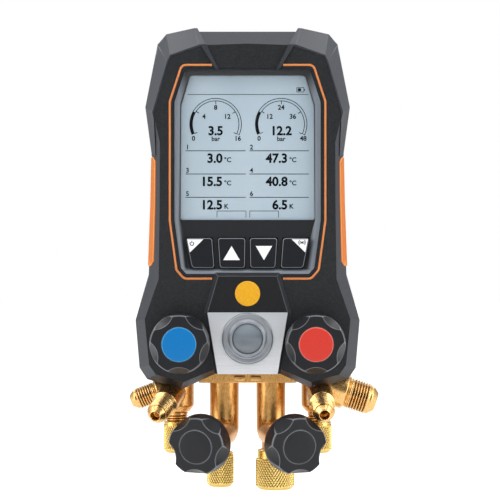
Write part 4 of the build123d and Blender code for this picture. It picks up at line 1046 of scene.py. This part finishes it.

# %% [markdown]
# ## Keys
# The keys are moulded rubber with a flat face and a small rounded rim that shows as a thin pale
# line, partly from its shape and partly from a painted edge highlight. Each is a stack of rings:
# the outline, carried forward, then in over the rim to the middle.

# %% Key shapes
KEY_TOP_Z, KEY_LOW_Z = -82.8, -97.6
KEY_FACE_Y = -45.8
KEY_BACK_Y = -41.7
KEY_ROUND = 1.5
KEY_RIM = 0.45
KEY_NEAR = (1.15, 14.7, 13.7, 1.35)
KEY_FAR = (17.6, 30.5, 27.5, 16.5)
KEYS = {"key_back": (-1, KEY_FAR), "key_up": (-1, KEY_NEAR), "key_down": (1, KEY_NEAR),
        "key_enter": (1, KEY_FAR)}


def key_shell(side, edges):
    """A key's outline with rounded corners, carried forward and turned in over a round rim."""
    top_in, top_out, low_out, low_in = edges
    corners = [(side * top_in, KEY_TOP_Z), (side * top_out, KEY_TOP_Z),
               (side * low_out, KEY_LOW_Z), (side * low_in, KEY_LOW_Z)]
    turn = np.linspace(0, pi / 2, 5)
    steps = [(KEY_BACK_Y, 0.0)]
    steps += [(KEY_FACE_Y + KEY_RIM * (1 - sin(t)), KEY_RIM * (1 - cos(t))) for t in turn]
    steps += [(KEY_FACE_Y, KEY_RIM + 0.25)]
    return stepped(rounded(corners, KEY_ROUND, closed=True, steps=7), steps)


for name, (side, edges) in KEYS.items():
    piece(f"{name}_top", [key_shell(side, edges)], plastics["key_rubber"], name, "key_rubber", name)

# %% Signs on the keys
TRIANGLE_HALF = 4.1
TRIANGLE_HIGH = 7.0
UP_PLACE = (-7.95, -90.2)
DOWN_PLACE = (8.1, -90.2)


def triangle(place, way):
    """A triangle that points up for way 1 and down for way -1."""
    x, z = place
    half = TRIANGLE_HIGH / 2
    return flat_mark([(x - TRIANGLE_HALF, z - way * half), (x + TRIANGLE_HALF, z - way * half),
                      (x, z + way * half)], KEY_FACE_Y)


def corner_flag(side):
    """The pale corner of an outer key."""
    return flat_mark([(side * x, z) for x, z in FLAG_CORNERS], KEY_FACE_Y)


def power_sign(centre, y):
    """A ring that is open above, with an upright stroke in the opening."""
    x, z = centre
    return [arc_mark(centre, 0.7, 1.1, 130, 410, y),
            mark_box(x - 0.2, x + 0.2, z + 0.1, z + 1.4, y)]


def waves_sign(centre, y):
    """A dot between two pairs of arcs."""
    arcs = [arc_mark(centre, reach, reach + 0.32, turn - WAVE_HALF, turn + WAVE_HALF, y)
            for reach in (0.85, 1.5) for turn in (0, 180)]
    return [arc_mark(centre, 0.02, 0.55, 0, 359, y), *arcs]


FLAG_CORNERS = ((29.9, -83.4), (21.9, -83.4), (28.6, -89.9))
WAVE_HALF = 46
SIGN_Y = KEY_FACE_Y - MARK_HIGH
SIGNS = {
    "sign_up": ("key_up", white_marks, [triangle(UP_PLACE, 1)]),
    "sign_down": ("key_down", white_marks, [triangle(DOWN_PLACE, -1)]),
    "flag_back": ("key_back", white_marks, [corner_flag(-1)]),
    "flag_enter": ("key_enter", white_marks, [corner_flag(1)]),
    "sign_power": ("key_back", lcd_ink, power_sign((-27.6, -85.5), SIGN_Y)),
    "sign_waves": ("key_enter", lcd_ink, waves_sign((27.0, -85.0), SIGN_Y)),
}
for name, (key, finish, shells) in SIGNS.items():
    piece(name, shells, finish, key, "key_rubber")

# %% [markdown]
# ## Knobs
# A hand knob is a turned blank with five leaning finger scallops. As a formula: at each height the
# radius is the blank's own or the distance to the scallop's round wall, whichever is less, and a
# soft minimum rounds the ridge between them. The same outline, shrunk a little, makes the rim.

# %% The knob's surface
KNOB_THICK = 14.0
KNOB_NECK_R, KNOB_NECK = 6.2, 4.0
KNOB_BLANK = [(12.2, 0.0), (14.7, 4.0), (14.7, 6.0), (14.1, 13.4), (13.45, 14.0)]
LOBES = 5
SCALLOP_R = 9.3
SCALLOP_AT_FACE = 11.0
SCALLOP_LEAN = (14.7 - 11.0) / 8.2
RIDGE = 0.16
KNOB_RIM = 0.4
CAP_R, CAP_GAP, CAP_SUNK, CAP_PROUD = 8.3, 0.15, 1.6, 0.3


def knob_reach(angle, height):
    """Radius of the scalloped blank at an angle and a height above its back."""
    heights = [z for _, z in KNOB_BLANK]
    blank = np.interp(height, heights, [r for r, _ in KNOB_BLANK])
    offset = (angle - radians(270) + pi / LOBES) % (2 * pi / LOBES) - pi / LOBES
    centre = SCALLOP_AT_FACE + SCALLOP_R + SCALLOP_LEAN * (KNOB_THICK - height)
    inside = SCALLOP_R**2 - (centre * np.sin(offset)) ** 2
    wall = np.where(inside > 0, centre * np.cos(offset) - np.sqrt(np.maximum(inside, 0)), 99.0)
    share = np.clip((wall - blank) / RIDGE, -30, 30)
    return blank - RIDGE * np.log1p(np.exp(-share))


def knob_shell():
    """Rings over the back, up the scalloped side, over the rim and into the pocket."""
    angle = np.linspace(0, 2 * pi, 300, endpoint=False)
    ring = lambda reach, height: np.stack(
        [reach * np.cos(angle), reach * np.sin(angle), np.full(len(angle), height)], -1)
    rings = [ring(KNOB_NECK_R, -KNOB_NECK), ring(KNOB_NECK_R, -0.2), ring(KNOB_NECK_R + 0.3, 0.0)]
    base = knob_reach(angle, 0.3)
    rings += [ring(base - 0.6, 0.0), ring(base - 0.15, 0.12)]
    heights = np.linspace(0.3, KNOB_THICK - KNOB_RIM, 40)
    rings += [ring(knob_reach(angle, height), height) for height in heights]
    outline = knob_reach(angle, KNOB_THICK - KNOB_RIM)
    for t in np.linspace(0, pi / 2, 6)[1:]:
        rings.append(ring(outline - KNOB_RIM * (1 - cos(t)), KNOB_THICK - KNOB_RIM * (1 - sin(t))))
    inner = outline - KNOB_RIM
    pocket = CAP_R + CAP_GAP
    for share in (0.03, 0.5, 0.97):
        rings.append(ring(inner + (pocket + 0.05 - inner) * share, KNOB_THICK))
    rings += [ring(pocket + 0.05, KNOB_THICK), ring(pocket, KNOB_THICK - 0.05),
              ring(pocket, KNOB_THICK - CAP_SUNK), ring(pocket - 0.3, KNOB_THICK - CAP_SUNK)]
    return np.stack(rings)


def cap_profile():
    """Profile of the round insert: straight side, rounded edge and a barely domed face."""
    return rounded([(0.01, -CAP_SUNK), (CAP_R, -CAP_SUNK), (CAP_R, CAP_PROUD - 0.12),
                    (CAP_R * 0.5, CAP_PROUD - 0.02), (0.01, CAP_PROUD)], 0.35)


# %% Placing the four knobs
KNOBS = {"upper_left": (45.0, "cap_blue"), "upper_right": (45.0, "cap_red"),
         "lower_left": (43.5, "knob_plastic"), "lower_right": (43.5, "knob_plastic")}
JOINTS = {joint["name"]: joint for joint in frame["joints"]}
for valve, (face, cap_slot) in KNOBS.items():
    joint = JOINTS[f"knob_{valve}_turn"]
    axis = unit(joint["axis"])
    centre = np.array(joint["pos_m"]) / MM
    body = f"knob_{valve}"
    back = centre + axis * (face - KNOB_THICK)
    shell = closed_shell(placed(knob_shell(), back, axis))
    piece(f"{body}_grip", [shell], plastics["knob_plastic"], body, "knob_plastic", body)
    cap = lathed(cap_profile(), centre + axis * face, axis, 128)
    piece(f"knob_insert_{valve}", [cap], plastics[cap_slot], body, cap_slot, f"knob_cap_{valve}")

# %% [markdown]
# ## Sight glass
# A machined ring holds a thick round lens in front of the block's passage. The ring has a flat,
# turned flange, a bright bead and a step; the lens is domed.

# %% Ring and lens
SIGHT_Z = -132.4
COVER_FACE_Y = -50.2
BLOCK_Y = -25.0
FORWARD = (0, -1, 0)
SIGHT_R, BEAD_R, LENS_R = 12.4, 8.7, 7.6
SIGHT_TOP = 2.2


def turned_piece(name, profile, origin, axis, finish, body, slot, *nodes, columns=96, relief=None):
    """A turned object: its profile's heights run along the axis from the origin."""
    grooves = groove_marks(profile, columns, relief) if relief else None
    shell = lathed(profile, origin, axis, columns, relief)
    return piece(name, [shell], finish, body, slot, *nodes, grooves=grooves)


ring_profile = rounded([(6.4, -14.0), (SIGHT_R, -14.0), (SIGHT_R, 0.75), (SIGHT_R - 0.5, 1.0),
                        (SIGHT_R - 1.9, 1.0), (SIGHT_R - 2.1, 0.85), (BEAD_R + 0.75, 0.95),
                        (BEAD_R + 0.55, 1.5), (BEAD_R, SIGHT_TOP), (LENS_R + 0.25, SIGHT_TOP),
                        (LENS_R, 1.7), (LENS_R, -3.0), (6.4, -3.0), (6.4, -14.0)], 0.22)
points = placed(turned(ring_profile, 160), (0, COVER_FACE_Y, SIGHT_Z), FORWARD)
hoop = facing_out(points.reshape(-1, 3), [grid_faces(len(ring_profile), 160)])
piece("sight_ring", [hoop], ring_metal, "root", "sight_ring_metal", "sight_glass_ring")
lens_profile = rounded([(0.01, -2.5), (LENS_R - 0.02, -2.5), (LENS_R - 0.02, 0.9),
                        (LENS_R * 0.86, 1.35), (LENS_R * 0.5, 1.85), (0.01, 2.0)], 0.8)
turned_piece("sight_lens", lens_profile, (0, COVER_FACE_Y, SIGHT_Z), FORWARD, sight_lens, "root",
             "sight_lens", "sight_glass_lens", columns=128)

# %% [markdown]
# ## Hose fittings
# Each open fitting is a turned collar, a relief, a screw thread and a coned seat with a bore. The
# thread is real relief, because its crests and shadows are what the eye reads as brass fitting.

# %% Flare fittings
SMALL = dict(crest=5.53, pitch=1.27, deep=0.62, bore=2.3, collar=6.6, nose=2.556, long=9.0)
LARGE = dict(crest=7.91, pitch=1.411, deep=0.78, bore=4.3, collar=8.9, nose=2.9375, long=10.5)
RELIEF = 1.2
BORE_END = 9.0
BODY_R = 8.5
FLARES = {
    "flare_side_left": ("hose_flare_side_left", 24.6, SMALL),
    "flare_front_left": ("hose_flare_front_left", 34.0, SMALL),
    "flare_front_right": ("hose_flare_front_right", 36.5, SMALL),
    "flare_side_right": ("vacuum_flare_side_right", 30.6, LARGE),
}
MOUNTS = {mount["name"]: mount for mount in frame["record"]["mounts"]}


def flare_profile(size, reach):
    """The fitting from inside its body to its tip, and back down the bore."""
    crest, bore, collar = size["crest"], size["bore"], size["collar"]
    seat = reach - size["nose"] - RELIEF
    start = seat - size["long"]
    corners = [(0.01, 3.0), (collar, 3.0), (collar, start - RELIEF - 0.4),
               (collar - 0.5, start - RELIEF), (crest - 0.6, start - 0.3), (crest - 0.6, start),
               (crest, start + 0.5), (crest, seat - 0.4), (crest - 0.5, seat),
               (crest - 0.75, seat + 0.2), (crest - 0.75, reach - size["nose"] + 0.1),
               (bore + 0.9, reach - 0.5), (bore + 0.4, reach), (bore + 0.2, reach - 0.05),
               (bore, reach - 0.4), (bore, BORE_END), (0.01, BORE_END)]
    return resampled(rounded(corners, 0.3), 0.17), start, seat


for node, (mount, reach, size) in FLARES.items():
    axis = unit(MOUNTS[mount]["axis"])
    profile, start, seat = flare_profile(size, reach)
    origin = np.array(MOUNTS[mount]["pos_m"]) / MM - axis * (start + seat) / 2
    crests = thread(start + 0.3, seat + 0.1, size["pitch"], size["deep"])
    turned_piece(f"{node}_turned", profile, origin, axis, brass_turned, "root", "brass", node,
                 columns=144, relief=crests)

# %% [markdown]
# ## Bodies under the block
# The outer bodies are round bars with a shoulder and a threaded port below. The inner bodies end
# in a round foot, from which a port hangs off centre. Both are turned shells that run into each
# other, as the forged blanks do.

# %% Outer bodies
BLOCK_LOW_Z = -149.0
OUTER_X = 35.8
OUTER_LOW_Z = -167.5
SHOULDER = 3.0
PORT_LENGTHS = {"outer_left": 13.0, "outer_right": 13.0, "inner_left": 14.8, "inner_right": 17.0}
PORT_BORE, PORT_DEEP = 2.4, 6.0
DOWN = (0, 0, -1)


def cap_box(port):
    """Axis, top and length of a sealing cap, read from the frame, in millimetres."""
    low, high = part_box(f"screw_cap_{port}")
    return (low[0] + high[0]) / 2 / MM, high[2] / MM, (high[2] - low[2]) / MM


def port_shell(port, size, neck, from_z, shown=0.0):
    """A threaded port below a body, as a shell and its groove marks: neck, thread and open end."""
    x, top, _ = cap_box(port)
    first = -top - shown
    end = -top + PORT_LENGTHS[port]
    crest = size["crest"]
    corners = [(0.01, -from_z), (neck, -from_z), (neck, first - 0.9), (crest - 0.6, first - 0.2),
               (crest, first + 0.3), (crest, end - 1.2), (crest - 1.1, end), (PORT_BORE, end),
               (PORT_BORE, end - PORT_DEEP), (0.01, end - PORT_DEEP)]
    profile = resampled(rounded(corners, 0.25), 0.2)
    crests = thread(first + 0.2, end - 0.4, size["pitch"], size["deep"])
    return lathed(profile, (x, BLOCK_Y, 0), DOWN, 120, crests), groove_marks(profile, 120, crests)


def post(name, plain, port, node):
    """A body and its port in one piece; only the port has grooves."""
    shell, marks = port
    grooves = np.concatenate([*(np.zeros(len(points)) for points, _ in plain), marks])
    piece(name, [*plain, shell], brass_forged, "root", "brass", node, grooves=grooves)


for side, end in ((-1, "left"), (1, "right")):
    corners = [(0.01, -BLOCK_LOW_Z - 1), (BODY_R, -BLOCK_LOW_Z - 1), (BODY_R, -OUTER_LOW_Z),
               (SMALL["crest"] + 0.7, -OUTER_LOW_Z + SHOULDER), (0.01, -OUTER_LOW_Z + SHOULDER)]
    bar = lathed(resampled(rounded(corners, 0.5), 1.5), (side * OUTER_X, BLOCK_Y, 0), DOWN)
    top = OUTER_LOW_Z - SHOULDER + 0.5
    port = port_shell(f"outer_{end}", SMALL, SMALL["crest"] - 0.7, top, 4.6)
    post(f"outer_post_{end}", [bar], port, f"outer_body_{end}")

# %% Inner bodies
INNER_X, INNER_R = 11.8, 7.3
FOOT_Z = -179.0
BAR_LOW_Z = -155.4
BOSS_R, BOSS_LONG = 7.2, 17.0
NECKS = {"left": (SMALL, 5.1), "right": (LARGE, 6.7)}
for side, end in ((-1, "left"), (1, "right")):
    size, neck = NECKS[end]
    round_foot = np.linspace(0, pi / 2, 16)[1:]
    foot = [(max(INNER_R * cos(t), 0.01), -FOOT_Z + INNER_R * sin(t)) for t in round_foot]
    wall = [(0.01, -BAR_LOW_Z - 1), (INNER_R, -BAR_LOW_Z - 1), (INNER_R, -FOOT_Z)]
    bar = lathed(resampled(np.array([*wall, *foot]), 1.5), (side * INNER_X, BLOCK_Y, 0), DOWN)
    joint = JOINTS[f"knob_lower_{end}_turn"]
    boss_profile = rounded([(0.01, 0), (BOSS_R, 0), (BOSS_R, BOSS_LONG), (0.01, BOSS_LONG)], 0.5)
    boss = lathed(boss_profile, np.array(joint["pos_m"]) / MM, joint["axis"])
    port = port_shell(f"inner_{end}", size, neck, FOOT_Z)
    post(f"inner_post_{end}", [bar, boss], port, f"inner_body_{end}")

# %% [markdown]
# ## Sealing caps
# Knurled brass caps close the four ports: a plain lip above, a diamond knurl and a rounded foot.

# %% Sealing caps
SMALL_CAP = dict(bore=5.65, lip=1.6, step=0.35, ridges=32)
LARGE_CAP = dict(bore=8.0, lip=4.4, step=0.9, ridges=40)
CAPS = {"outer_left": SMALL_CAP, "inner_left": SMALL_CAP,
        "inner_right": LARGE_CAP, "outer_right": SMALL_CAP}
CAP_FLOOR = 2.4
for port, size in CAPS.items():
    x, top, long = cap_box(port)
    low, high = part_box(f"screw_cap_{port}")
    outer = (high[0] - low[0]) / 2 / MM
    bore, lip, neck = size["bore"], size["lip"], outer - size["step"]
    corners = [(0.01, long - CAP_FLOOR), (bore, long - CAP_FLOOR), (bore, 0.3), (bore + 0.3, 0),
               (neck - 0.3, 0), (neck, 0.3), (neck, lip - 0.3), (neck + 0.1, lip),
               (outer, lip + 0.3), (outer, long - 1.9), (outer - 0.5, long - 1.2),
               (outer - 1.6, long), (0.01, long)]
    profile = resampled(rounded(corners, 0.25), 0.2)
    ridges = knurl(lip + 0.2, long - 1.7, size["ridges"], 0.42, 0.40)
    outside = profile[:, :1] > (outer + bore) / 2
    relief = lambda angle, height, cut=ridges, where=outside: cut(angle, height) * where
    body = f"screw_cap_{port}"
    turned_piece(f"sealing_cap_{port}", profile, (x, BLOCK_Y, top), DOWN, brass_knurled, body,
                 "brass", body, columns=320, relief=relief)

# %% [markdown]
# ## Finishes for the solids that stay
# Inner pieces and plain hardware keep their solids and only get their finish.

# %% Finishes by node
KEPT = {
    "badge_disc": "disc_colour", "lcd_module": "bezel_plastic", "keypad_mat": "seal_rubber",
    "main_board": "board", "sight_glass_seal": "seal_rubber", "hook_pin": "steel",
    "battery_tray": "bezel_plastic", "batteries": "cell_wrap", "screws": "steel",
    "pressure_sensors": "steel", "gland_nuts": "brass_turned",
}
for valve in KNOBS:
    KEPT[f"spindle_{valve}"] = KEPT[f"piston_{valve}"] = "brass_turned"
for node, name in KEPT.items():
    mesh = NODES[node].data
    mesh.materials.clear()
    mesh.materials.append(finishes[name])
    mesh.polygons.foreach_set("material_index", [0] * len(mesh.polygons))
